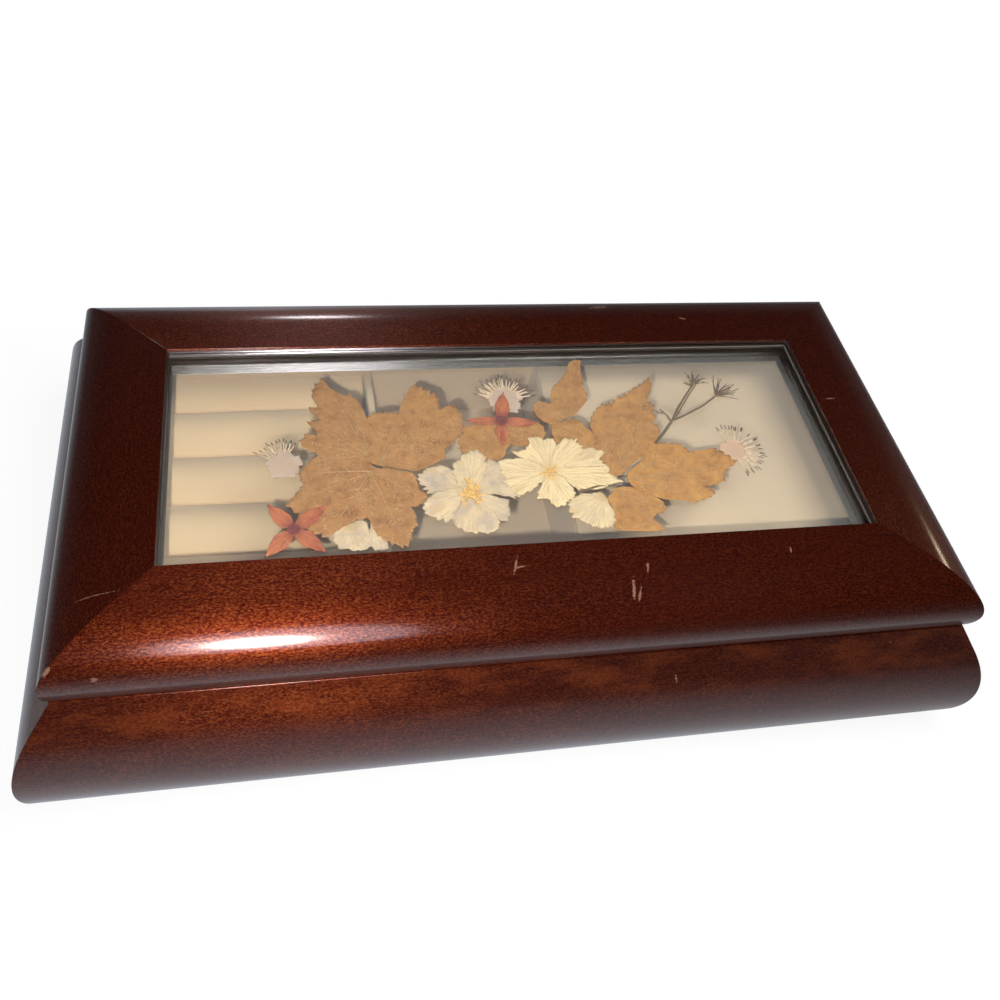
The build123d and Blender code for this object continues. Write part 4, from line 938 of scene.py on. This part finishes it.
# %% Leaves
leaves = (
    # Outline, heart, lobe tips, height above the lower pane and a number that sets its tint
    (((-40.5, -3), (-43, -3.4), (-50, -3), (-54, -2.9), (-57.5, -2.8), (-55, -.5), (-57.2, 1.2),
     (-59.2, 3.4), (-58.8, 5.3), (-56.9, 7.1), (-54.5, 6), (-56.5, 9.9), (-56.9, 11.4), (-53.8, 12.4),
     (-55.6, 13.9), (-56.5, 15.3), (-55.6, 16.7), (-53.8, 16.7), (-55.4, 20.6), (-54.5, 24.6),
     (-52.7, 26.6), (-51.6, 27.1), (-50.6, 24.2), (-48.4, 22.4), (-46.3, 20.6), (-45.2, 21.1),
     (-43.8, 19.9), (-42.6, 18.1), (-41.6, 15.6), (-41.4, 13.5), (-40.6, 11.4), (-38.4, 6), (-38, 0)),
     (-41.4, -1), ((-51.8, 26.5), (-43.8, 20), (-56.5, 11.6), (-58.8, 4.5), (-57.2, -2.6)), 0.27, 0.1),
    (((-44, -2), (-45.6, 2), (-44.4, 8), (-41.3, 11.4), (-39.9, 12.8), (-37.7, 13.7), (-34.9, 14),
     (-32.4, 13.7), (-30.6, 12.6), (-31.4, 15.3), (-31.6, 18.1), (-31.1, 19.9), (-30.2, 21.7),
     (-28.8, 23.5), (-26.6, 24.2), (-24.9, 23.5), (-22.7, 22.1), (-20.2, 19.9), (-19.7, 17.4),
     (-19.5, 14.6), (-17.7, 15.6), (-15.9, 16), (-14.5, 13.9), (-13.8, 11.4), (-13.8, 8.5), (-14.9, 5.6),
     (-16.6, 3.1), (-19.1, .6), (-20.4, .3), (-20.4, -2.6), (-22, -4), (-24.9, -5.8), (-27.7, -6.9),
     (-29.1, -7.2), (-31, -6.8), (-36.3, -5.4), (-40, -4.5)), (-38.8, -3.2), ((-26.8, 23.6), (-37, 13.2),
     (-15.6, 15.2), (-14.2, 8.8), (-20.6, -1), (-27.5, -6.6)), 0.21, 0.25),
    (((-41, -4), (-39.1, -5.8), (-36.3, -5.8), (-32.7, -6.9), (-30.2, -7.9), (-29.1, -9.7), (-28.8, -13.3),
     (-27.1, -15.1), (-28.1, -17.2), (-29.9, -18.9), (-31.6, -19), (-30.9, -21.1), (-30.9, -24.7),
     (-32, -26.1), (-32.7, -28.3), (-34.3, -31.1), (-37.7, -30.1), (-40.6, -27.9), (-42, -25.4),
     (-43.1, -22.2), (-46.3, -22.2), (-47.7, -22.9), (-50.6, -24.7), (-54.1, -26.9), (-55.6, -26.1),
     (-58.4, -24.7), (-60.6, -20.1), (-63.1, -16.9), (-63.3, -15.4), (-61.3, -13.3), (-59.9, -11.5),
     (-59.3, -9.7), (-60, -7.6), (-59.5, -5.4), (-57.4, -2.9), (-50, 2.6), (-44, 2.6)), (-41.2, -6.6),
     ((-34.4, -30.2), (-28, -16.6), (-42.6, -23), (-53.6, -26), (-62.6, -16), (-59.4, -6.5)), 0.16, 0.0),
    (((-3.5, 9), (-13.1, 7.8), (-14.6, 5.3), (-16, 2.8), (-16.1, .3), (-15.3, -1.9), (-11.4, -3.6),
     (-6.7, -4.7), (-4.6, -4), (-3.5, -2.6), (-2.8, -.8), (-1.1, 1), (-.3, .3), (1.9, -.1), (4, .6),
     (6.9, 2.1), (9.1, 3.1), (9.5, 5.3), (8.9, 7.4), (6.9, 8.9), (3.3, 9.4)), (-2.6, 6.4), ((-15.6, 1),
     (-9.5, -3.8), (9, 4.6), (3.6, .8)), 0.14, 0.35),
    (((26.1, 31.7), (25.4, 32.8), (22.6, 31.7), (21.1, 28.9), (19.7, 26.7), (17.9, 24.2), (15.8, 22.4),
     (14.7, 20.6), (14, 18.5), (13.3, 15.3), (11.1, 16.1), (9.4, 16.4), (7.9, 14.6), (7.7, 12.4),
     (8.3, 10.3), (10.4, 8.1), (13.3, 7.4), (15.4, 9.2), (18.3, 10.3), (20.4, 11.4), (22.6, 13.9),
     (24.4, 16), (25.1, 18.9), (24.4, 21), (25.1, 23.9), (25.3, 27.4)), (14.8, 9.8), ((25.2, 32),
     (8.8, 15.6), (24.6, 17.5)), 0.22, 0.3),
    (((12, 7.5), (17, 9), (20, 9), (22.5, 5), (26, 1), (30, -2), (31, -8), (27, -12), (20, -10), (14, -2),
     (11.5, 2)), (21, -1), ((13, 6.6), (28.5, -1.5), (29, -9.5)), 0.12, 0.6),
    (((46.4, 24.2), (43.6, 22.4), (40, 20.3), (38.2, 18.9), (35.4, 17.3), (33.2, 16.4), (32.1, 14.6),
     (30.7, 14.9), (28.2, 13.9), (26.1, 12.1), (24.4, 9.6), (23.2, 6.7), (23.2, 3.5), (25, 1), (24, -3),
     (23.6, -6.9), (25.7, -9.7), (28.9, -11.1), (30.7, -9), (35.4, -6.1), (38.9, -4.7), (41.4, -1.1),
     (43.9, 4.6), (42.1, 7.1), (44.6, 8.5), (42.9, 11), (45, 11.7), (44.6, 13.9), (42.9, 14.9),
     (44.3, 17.4), (46.1, 20.6)), (28.6, -9), ((45.8, 23.2), (31, 14.2), (23.8, 5), (43.6, 7.4)), 0.20,
     0.5),
    (((39.3, -1.1), (41.4, -.8), (45, -1.1), (48.6, -1.9), (50, -4), (51.8, -4.6), (55.7, -4), (58.9, -4),
     (61.4, -6.1), (63.2, -8.3), (62.9, -9.7), (60.7, -10.8), (58.6, -12.9), (57.9, -15.4), (54.3, -16.5),
     (52.1, -17.2), (53.6, -19), (51.4, -20.8), (46.4, -22.2), (42.9, -21.1), (38.6, -20.8), (35.4, -19.4),
     (30.7, -16.1), (29.6, -13.3), (30.7, -10.4), (35.4, -6.9)), (31, -12.9), ((62.6, -9), (46.5, -1.6),
     (56.5, -15.6), (48, -21.6)), 0.27, 1.0),
    (((25.4, -16.1), (29.3, -15.8), (32.9, -17.6), (36.8, -20.4), (37.9, -22.6), (37.5, -24.4), (35, -25.4),
     (33.6, -26.9), (35.4, -30.1), (32.9, -30.8), (22.9, -29.7), (21.8, -26.9), (22.9, -23.3),
     (22.1, -19.7), (23.9, -17.6)), (26.6, -17.6), ((26, -30), (37, -23.4), (34, -29.8)), 0.18, 0.8),
)


# %% Leaf finish
def leaf_finish():
    """Mottled tan, pale thin veins with painted shade beside them, crease and crumple lines painted pale as
    highlights, and dark specks.
    """
    leaf = new_finish("dried_leaf", Roughness=0.62, Specular_IOR_Level=0.35)
    spot = place_in_mm(leaf)
    mottle = noise(leaf, spot, 0.28, 5.0, 0.62)
    tans = [(0.30, (0.22, 0.092, 0.028)), (0.48, (0.36, 0.168, 0.056)), (0.70, (0.45, 0.23, 0.084))]
    tan = ramp(leaf, mottle, tans)
    gold = blend_colours(leaf, 1.0, tan, (1.32, 1.34, 1.0), "MULTIPLY")
    colour = blend_colours(leaf, add(leaf, "Attribute", attribute_name="number").outputs["Fac"], tan, gold)
    gap = add(leaf, "Attribute", attribute_name="to_vein").outputs["Fac"]
    crooked = calculate(leaf, "ADD", gap, product(leaf, noise(leaf, spot, 1.4, 2.0), 0.25))
    crumple_highlight_cells = add(leaf, "TexVoronoi", {"Vector": spot, "Scale": 1.1}, feature="DISTANCE_TO_EDGE")
    bend = calculate(leaf, "ABSOLUTE", calculate(leaf, "SUBTRACT", noise(leaf, spot, 0.17, 4.0, 0.6), 0.5))
    crease = step_up(leaf, bend, 0.016, 0.002)
    specks = step_up(leaf, noise(leaf, spot, 0.9, 2.0), 0.72, 0.76)
    for mask, share, other in (
            # Painted shade: brown beside each vein, as if its raised ridge shaded the leaf
            (step_up(leaf, crooked, 0.95, 0.2), 0.22, (0.22, 0.085, 0.025)),
            (step_up(leaf, crooked, 0.27, 0.12), 0.55, (0.60, 0.36, 0.16)),
            # Painted highlight: pale lines along the edges of the crumple cells
            (step_up(leaf, crumple_highlight_cells.outputs["Distance"], 0.07, 0.0), 0.18, (0.55, 0.32, 0.13)),
            (specks, 0.6, (0.09, 0.04, 0.02)),
            # Painted highlight: pale crease lines, for glints on the crumpled leaf
            (crease, 0.4, (0.72, 0.46, 0.22))):
        colour = touched(leaf, colour, mask, share, other)
    plug(leaf, "Base Color", colour)
    raised = calculate(leaf, "ADD", product(leaf, crease, 0.5), product(leaf, mottle, 1.2))
    plug(leaf, "Normal", bump(leaf, raised, 0.9, 0.35))
    return leaf


# %% Leaf sheets
leaf_parts = [leaf_part(*leaf) for leaf in leaves]
thin_sheets("pressed_leaf_sheets", leaf_parts, leaf_finish(), ["pressed_leaves"],
            ("to_vein", "number"))

# %% [markdown]
# ## Pressed flowers
# Two big flowers with ivory petals and yellow stamens lie in the middle, two small coral ones
# beside them, and three fringed heads. Petals are fans as well, with torn rims. Their UV map holds
# the angle and the distance about the flower's middle, so fine streaks run out from it as they do
# on a real petal.

# %% Petals
torn = np.random.default_rng(11)


def petal_part(centre, rim, level, number=0.0, tear=0.085):
    """A fan between a flower's middle and its rim: the rim points, closed through the middle."""
    centre = np.array(centre, float)
    loop = np.concatenate([[centre], np.array(rim, float)])
    heart = 0.35 * centre + 0.65 * loop[1:].mean(axis=0)
    line = smooth_line(loop, 14)
    length = run_along(line)
    ragged = 0.014 * wave(length, 1.7) + 0.018 * wave(length, 3.1, centre[0] + level * 40)
    tears = np.convolve(torn.normal(0, tear, len(line)), [0.3, 0.4, 0.3], mode="same")
    line = heart + (line - heart) * (1 + ragged + tears)[:, None]
    return fan_part(line, heart, level, rows=10, centre=centre, number=number)


def lens_rim(centre, tip, width, count=14):
    """A pointed petal: half width w sin(pi t^0.8) at the share t of the way from the middle to the tip."""
    centre, tip = np.array(centre, float), np.array(tip, float)
    along = tip - centre
    across = np.array([-along[1], along[0]]) / np.linalg.norm(along)
    t = np.linspace(0.06, 1, count)[:, None]
    half = 0.5 * width * np.sin(np.pi * t ** 0.8) * across
    one, other = centre + t * along + half, centre + t * along - half
    return np.concatenate([one, other[-2::-1]])


# %% Petal finish
def streaked_petal(name, pale, deep, streak, edge, middle):
    """Streaks by angle about the middle, painted shade in patches and folds, and another tint near the
    middle.
    """
    petal = new_finish(name, Roughness=0.55, Specular_IOR_Level=0.3)
    polar = add(petal, "UVMap", uv_map="along_the_grain").outputs[0]
    number = add(petal, "Attribute", attribute_name="number").outputs["Fac"]
    stretched = add(petal, "Mapping", {"Vector": polar, "Scale": (26.0, 1.2, 1.0)}).outputs[0]
    streaks = noise(petal, stretched, 1.0, 3.0, 0.6)
    patches = noise(petal, place_in_mm(petal), 0.22)
    crinkle_and_painted_fold_shade = noise(petal, place_in_mm(petal), 0.8, 4.0, 0.65)
    distance = add(petal, "SeparateXYZ", {0: polar}).outputs["Y"]
    # Painted shade: the deeper tint in patches, for shadow seen through the thin petal
    colour = blend_colours(petal, step_up(petal, patches, 0.38, 0.66), pale, deep)
    colour = blend_colours(petal, number, colour, edge)
    colour = touched(petal, colour, step_up(petal, streaks, 0.47, 0.62), 0.7, streak)
    colour = touched(petal, colour, step_up(petal, distance, 0.42, 0.05), 0.6, middle)
    # Painted shade: the deeper tint in the folds
    colour = touched(petal, colour, step_up(petal, crinkle_and_painted_fold_shade, 0.60, 0.68), 0.45, deep)
    plug(petal, "Base Color", colour)
    rough_skin = calculate(petal, "ADD", crinkle_and_painted_fold_shade, product(petal, streaks, 0.4))
    plug(petal, "Normal", bump(petal, rough_skin, 0.9, 0.4))
    return petal


# The ivory petals' grey-lilac deeper tint is painted shade, for shadow seen through the thin petals
ivory_petal = streaked_petal("ivory_petal", (0.70, 0.56, 0.39), (0.46, 0.375, 0.33), (0.60, 0.42, 0.21),
                             (0.90, 0.72, 0.42), (0.62, 0.40, 0.17))
coral_petal = streaked_petal("coral_petal", (0.46, 0.125, 0.055), (0.28, 0.050, 0.026), (0.54, 0.24, 0.10),
                             (0.13, 0.014, 0.022), (0.12, 0.010, 0.025))
print("petal finishes:", ivory_petal.name, "and", coral_petal.name)

# %% Ivory petals
first_middle, second_middle = (-14.9, -15.1), (7.9, -9.7)
ivory_petals = (
    # Flower's middle, rim, height, and how opaque and white the petal dried
    (first_middle, ((-11.5, -8), (-8.9, -4.4), (-6, -6.1), (-4.6, -8.3), (-1.7, -14), (-2.4, -17.6),
     (-8, -16.5)), 0.40, 0.0),
    (first_middle, ((-9, -17), (-5.2, -18.8), (-6, -20.4), (-6.4, -24.4), (-9.2, -24.8), (-12, -21)), 0.44,
     0.1),
    (first_middle, ((-11.6, -20), (-9.4, -23.6), (-9.6, -26.1), (-12.4, -28.6), (-18.1, -27.6),
     (-21.4, -24.7), (-19.4, -20)), 0.48, 0.15),
    (first_middle, ((-18.4, -19.4), (-21, -23.6), (-25.3, -23.3), (-28.5, -20.1), (-26.7, -16.1),
     (-21, -13.8)), 0.42, 0.35),
    (first_middle, ((-20.5, -15.6), (-25.6, -15.4), (-27.4, -13.3), (-28.9, -9.4), (-26.7, -6.9),
     (-23.1, -5.8), (-19.9, -6.9), (-17.4, -10.6)), 0.38, 0.0),
    (first_middle, ((-18.8, -11.6), (-18.9, -7.6), (-18.1, -4.7), (-12.4, -1.1), (-9.6, -4.6),
     (-10.6, -9.2)), 0.50, 0.5),
    (second_middle, ((3, -14.6), (-2.8, -16.9), (-5.4, -11), (-5.3, -5.4), (-.6, -4.4), (4, -6.2)), 0.46,
     0.85),
    (second_middle, ((4, -7), (.4, -4.2), (-1.7, -2.2), (2.4, -1.4), (4.2, 1), (6.4, -3)), 0.42, 1.0),
    (second_middle, ((6, -4), (4.2, .8), (4.6, 3.1), (9.7, 1.7), (11.6, .4), (10.6, -4.6)), 0.50, 0.8),
    (second_middle, ((9.6, -4.6), (12.6, .6), (17.2, 1.7), (18.6, -.4), (18.4, -3.6), (13.8, -7)), 0.54,
     0.9),
    (second_middle, ((13, -5), (18.6, -2.2), (24.7, -3.3), (23.2, -6.2), (25.4, -9.7), (20.6, -11.6),
     (13, -11)), 0.44, 0.8),
    (second_middle, ((14, -8.4), (21.4, -8.6), (24, -10.4), (27.6, -14), (21.1, -16.1), (15.4, -16.1),
     (11, -13)), 0.50, 1.0),
    (second_middle, ((11.6, -12), (13.2, -17.6), (11.1, -20.1), (6.9, -21.5), (5.4, -19), (2.6, -18.3),
     (5, -13)), 0.56, 0.95),
    ((21.5, -18.5), ((17.6, -17.2), (13.3, -18.3), (10.4, -21.1), (11.4, -24.4), (14, -26.9), (19, -29),
     (21.9, -27.6), (22.7, -24)), 0.40, 0.6),
    ((-48, -23), ((-52.5, -26.5), (-50, -30.5), (-43.2, -31), (-44, -22.8)), 0.08, 0.0),
    ((-41.4, -23.4), ((-42.9, -24.4), (-43, -31), (-39, -31)), 0.10, 0.0),
)
ivory_parts = [petal_part(*petal) for petal in ivory_petals]
thin_sheets("pressed_ivory_petals", ivory_parts, ivory_petal, ["pressed_cream_flowers"])

# %% Coral petals
coral_flowers = {
    # Middle, and each petal's tip, width and height
    (-2.6, 9.2): (((-.3, 19.9), 4.4, 0.56), ((-13.1, 9.6), 3.2, 0.50), ((7.8, 7.8), 3.4, 0.52),
                  ((-3.8, .1), 3.6, 0.48)),
    (-62.1, -24.2): (((-68.6, -16.1), 4.2, 0.50), ((-53.6, -17.4), 4.2, 0.54), ((-69.3, -31.9), 4.4, 0.52),
                     ((-54.6, -31.4), 4.4, 0.56)),
}
coral_parts = [petal_part(middle, lens_rim(middle, tip, width), level, tear=0.04)
               for middle, petals in coral_flowers.items() for tip, width, level in petals]
heart_rim = 1.6 * smooth_line(arc((0, 0), 1, 0, 324, 10), 3)
coral_parts += [fan_part(heart_rim + middle, middle, 0.64, 6, number=1.0) for middle in coral_flowers]
thin_sheets("pressed_coral_petals", coral_parts, coral_petal, ["pressed_coral_flowers"])

# %% [markdown]
# ## Stamens, fringes and seed stem
# Threads and stalks are thin tubes: a small ring carried along a path. The fringed heads are rays
# with dark tips round a thin, clear skin, which lets the leaf or cloth behind it show. The leaves'
# veins stand out of them as threads too.


# %% Threads
def thread_part(path, start_radius, end_radius, rows=6, sides=5, flatness=0.6):
    """A ring at each point of a bent path, square to its run. Its UV is the angle and the way along."""
    path = np.array(path, float)
    length = np.concatenate([[0], np.cumsum(np.linalg.norm(np.diff(path, axis=0), axis=1))])
    even = np.linspace(0, length[-1], rows)
    path = np.stack([np.interp(even, length, path[:, axis]) for axis in range(3)], axis=1)
    path[:, 2] += lower_pane_top
    run = np.gradient(path, axis=0)
    run /= np.linalg.norm(run, axis=1)[:, None]
    side = np.stack([-run[:, 1], run[:, 0], np.zeros(rows)], axis=1)
    side /= np.linalg.norm(side, axis=1)[:, None]
    up = np.cross(run, side)
    angle = np.arange(sides) / sides * 2 * np.pi
    share = np.linspace(0, 1, rows)[:, None]
    radius = (start_radius + (end_radius - start_radius) * share)[:, :, None]
    cosine, sine = np.cos(angle)[None, :, None], np.sin(angle)[None, :, None]
    ring = cosine * side[:, None] + flatness * sine * up[:, None]
    uv = np.stack(np.broadcast_arrays(angle[None, :], share), axis=-1)
    return bar_part(path[:, None] + radius * ring, uv.reshape(-1, 2))


def thread_finish(name, body, tip, tip_from):
    """A dry thread: its body's colour, mottled, that turns to its tip's colour near the end."""
    thread = new_finish(name, Roughness=0.6, Specular_IOR_Level=0.3)
    polar = add(thread, "UVMap", uv_map="along_the_grain").outputs[0]
    at_tip = step_up(thread, add(thread, "SeparateXYZ", {0: polar}).outputs["Y"], tip_from, tip_from + 0.12)
    mottle = noise(thread, place_in_mm(thread), 1.3)
    shade = ramp(thread, mottle, [(0.3, tuple(0.6 * value for value in body)), (0.7, body)])
    plug(thread, "Base Color", blend_colours(thread, at_tip, shade, tip))
    return thread


def path_about(middle, *steps):
    """A path about a middle: each step is a distance, an angle and a height."""
    return [(middle[0] + reach * np.cos(angle), middle[1] + reach * np.sin(angle), height)
            for reach, angle, height in steps]


# %% Stamens
chance = np.random.default_rng(7)
stamens = []
for middle, spread, count in ((first_middle, (3.2, 4.0), 60), (second_middle, (2.4, 2.2), 22)):
    for end in chance.normal(0, 0.55, (count, 2)).clip(-1.1, 1.1) * spread:
        bend = chance.normal(0, 0.3, 2)
        foot, elbow, tip = middle + 0.15 * end, middle + 0.6 * end + bend, middle + end
        stamens.append(thread_part([(*foot, 0.66), (*elbow, 0.74), (*tip, 0.72)], 0.14, 0.38, rows=5))
stamen_finish = thread_finish("stamen", (0.80, 0.50, 0.17), (0.88, 0.56, 0.20), 0.75)
make_piece("pressed_stamens", stamens, stamen_finish, "lid")

# %% Fringed heads
fringed_heads = (
    # Middle, ray length from, to, first and last angle, count, skin radius and tint
    ((-.3, 17.4), 4.0, 9.6, 165, 5, 27, 6.2, 0.2),
    ((64.3, -4.7), 3.4, 9.6, 108, -85, 32, 4.7, 1.0),
    ((-63.8, -3.3), 4.2, 9.0, 150, 70, 12, 5.4, 0.3),
)
rays, skins = [], []
bearing = np.linspace(0, 2 * np.pi, 120, endpoint=False)
skin_wave = 1 + 0.09 * np.sin(5 * bearing) + 0.06 * np.sin(11 * bearing + 1)
skin_wave += 0.05 * np.sin(19 * bearing + 2)
skin_rim = 0.84 * skin_wave[:, None] * np.stack([np.cos(bearing), np.sin(bearing)], axis=1)
for middle, inner, outer, first, last, count, skin_radius, tint in fringed_heads:
    for angle in np.radians(np.linspace(first, last, count) + chance.normal(0, 1.6, count)):
        reach = outer * chance.uniform(0.86, 1.04)
        sway = angle + chance.normal(0, 0.05)
        halfway = 0.5 * (inner + reach)
        path = path_about(middle, (inner, angle, 0.30), (halfway, sway, 0.36), (reach, sway, 0.32))
        rays.append(thread_part(path, 0.25, 0.13, sides=6))
    skins.append(fan_part(middle + skin_radius * skin_rim, middle, 0.24, 8, number=tint))
fringe_finish = thread_finish("fringe_ray", (0.86, 0.66, 0.47), (0.075, 0.05, 0.038), 0.66)
make_piece("pressed_fringe_rays", rays, fringe_finish, "lid", ["pressed_fringed_flowers"])
thin_skin = streaked_petal("thin_skin", (0.66, 0.56, 0.50), (0.50, 0.43, 0.40), (0.74, 0.54, 0.38),
                           (0.86, 0.56, 0.40), (0.74, 0.52, 0.38))
thin_skin.node_tree.nodes["Principled BSDF"].inputs["Alpha"].default_value = 0.72
thin_sheets("pressed_thin_skins", skins, thin_skin)

# %% Leaf veins
vein_parts = []
for outline, heart, tips, level, number in leaves:
    for index, (begin, end) in enumerate(zip(*veins(heart, tips))):
        is_main = index % veins_per_lobe == 0
        end = end if is_main else begin + 0.75 * (end - begin)
        middle = 0.5 * (begin + end) + chance.normal(0, 0.02, 2) * np.linalg.norm(end - begin)
        path = [(x, y, level + ripple(x, y) - 0.02) for x, y in (begin, middle, end)]
        vein_parts.append(thread_part(path, 0.24 if is_main else 0.15, 0.07))
vein_finish = thread_finish("leaf_vein", (0.50, 0.29, 0.12), (0.42, 0.23, 0.09), 0.8)
make_piece("pressed_leaf_veins", vein_parts, vein_finish, "lid")

# %% Seed stem
stalks = (
    # Path points, radius at its start and its end
    (((41.1, -1.1, 0.40), (44.4, 2.4, 0.42), (48.6, 7.1, 0.42)), 0.42, 0.40),
    (((48.6, 7.1, 0.42), (51.6, 11.6, 0.44), (55.7, 16.7, 0.46), (60, 21.7, 0.42)), 0.36, 0.26),
    (((49.6, 7.6, 0.30), (52.8, 11.8, 0.30), (56.8, 16.9, 0.30), (60.6, 21.2, 0.30)), 0.2, 0.16),
    (((48.6, 7.1, 0.42), (52.1, 8.5, 0.40), (60, 12.4, 0.40), (65.7, 16.4, 0.40)), 0.36, 0.26),
    (((48.2, 6.8, 0.42), (47.6, 9.2, 0.40), (46.0, 11.6, 0.40)), 0.34, 0.22),
    (((46.6, 10.0, 0.40), (45.2, 10.4, 0.40), (43.8, 11.4, 0.40)), 0.24, 0.16),
    (((14.2, -17.2, 0.25), (20, -15.4, 0.30), (27, -15, 0.25)), 0.5, 0.42),
)
seed_heads = (
    # Middle, heading and spread in degrees, length, count
    ((59.6, 21.2), 60, 50, 5.4, 16),
    ((65.4, 16.2), 38, 42, 8.6, 20),
    ((59.0, 20.0), 100, 40, 3.6, 8),
)
stalk_parts = [thread_part(path, thick, thin, rows=16, sides=8) for path, thick, thin in stalks]
for middle, heading, spread, reach, count in seed_heads:
    for angle in np.radians(heading + np.linspace(-spread, spread, count) + chance.normal(0, 3, count)):
        length = reach * chance.uniform(0.6, 1.05)
        bow = angle + chance.normal(0, 0.12)
        path = path_about(middle, (0, angle, 0.40), (0.5 * length, angle, 0.44), (length, bow, 0.38))
        stalk_parts.append(thread_part(path, 0.2, 0.12))
stalk_finish = thread_finish("dried_stem", (0.15, 0.10, 0.055), (0.24, 0.19, 0.12), 0.9)
make_piece("pressed_seed_stalks", stalk_parts, stalk_finish, "lid", ["pressed_seed_stem"])

# %% [markdown]
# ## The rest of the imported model
# Hinges, screws, movement and floor panel keep their solids and get finishes with the marks of how
# they were made: brushed brass and steel, sawn plywood, grey card and black felt.


# %% Brushed metal
def brushed_metal(name, colour, roughness):
    metal = new_finish(name, Metallic=1.0)
    lines = grain(metal, False, 0.3, 6.0, 1.0)
    stain = noise(metal, place_in_mm(metal), 0.25)
    darker = tuple(0.72 * value for value in colour)
    plug(metal, "Base Color", ramp(metal, stain, [(0.35, darker), (0.65, colour)]))
    limits = {"Value": lines, "To Min": roughness * 0.7, "To Max": roughness * 1.3}
    plug(metal, "Roughness", add(metal, "MapRange", limits).outputs[0])
    plug(metal, "Normal", bump(metal, lines, 0.3, 0.03))
    return metal


# %% Plywood and card
def plywood_finish():
    ply = new_finish("plywood", Roughness=0.6, Specular_IOR_Level=0.3)
    fine = grain(ply, False, 0.05, 0.9, 1.2, 4.0)
    wide = grain(ply, False, 0.008, 0.12, 1.0)
    both = calculate(ply, "ADD", product(ply, fine, 0.6), product(ply, wide, 0.4))
    colours = [(0.35, (0.33, 0.21, 0.11)), (0.5, (0.50, 0.34, 0.20)), (0.65, (0.62, 0.45, 0.28))]
    plug(ply, "Base Color", ramp(ply, both, colours))
    plug(ply, "Normal", bump(ply, fine, 0.4, 0.08))
    return ply


def card_finish():
    card = new_finish("spacer_card", Roughness=0.9)
    fibres = noise(card, place_in_mm(card), 2.0, 4.0)
    plug(card, "Base Color", ramp(card, fibres, [(0.3, (0.035, 0.024, 0.02)), (0.7, (0.07, 0.05, 0.042))]))
    plug(card, "Normal", bump(card, fibres, 0.4, 0.05))
    return card


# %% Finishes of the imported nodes
finishes = {
    "brass": brushed_metal("brass", (0.80, 0.60, 0.28), 0.28),
    "steel": brushed_metal("steel", (0.62, 0.62, 0.63), 0.3),
    "plywood": plywood_finish(),
    "spacer_card": card_finish(),
    "felt": black_felt,
}
slots = {part["node"]: part["material_slot"] for part in frame["record"]["subparts"]}
for node, made in nodes.items():
    if slots[node] in finishes:
        for material_slot in made.material_slots:
            material_slot.material = finishes[slots[node]]
print("finished:", sum(slots[node] in finishes for node in nodes), "packed nodes")

# %% Check and finish
low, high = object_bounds()
print("grown by mm:", [round((a - b) / mm, 2) for a, b in zip(cad_low, low)],
      [round((b - a) / mm, 2) for a, b in zip(cad_high, high)])
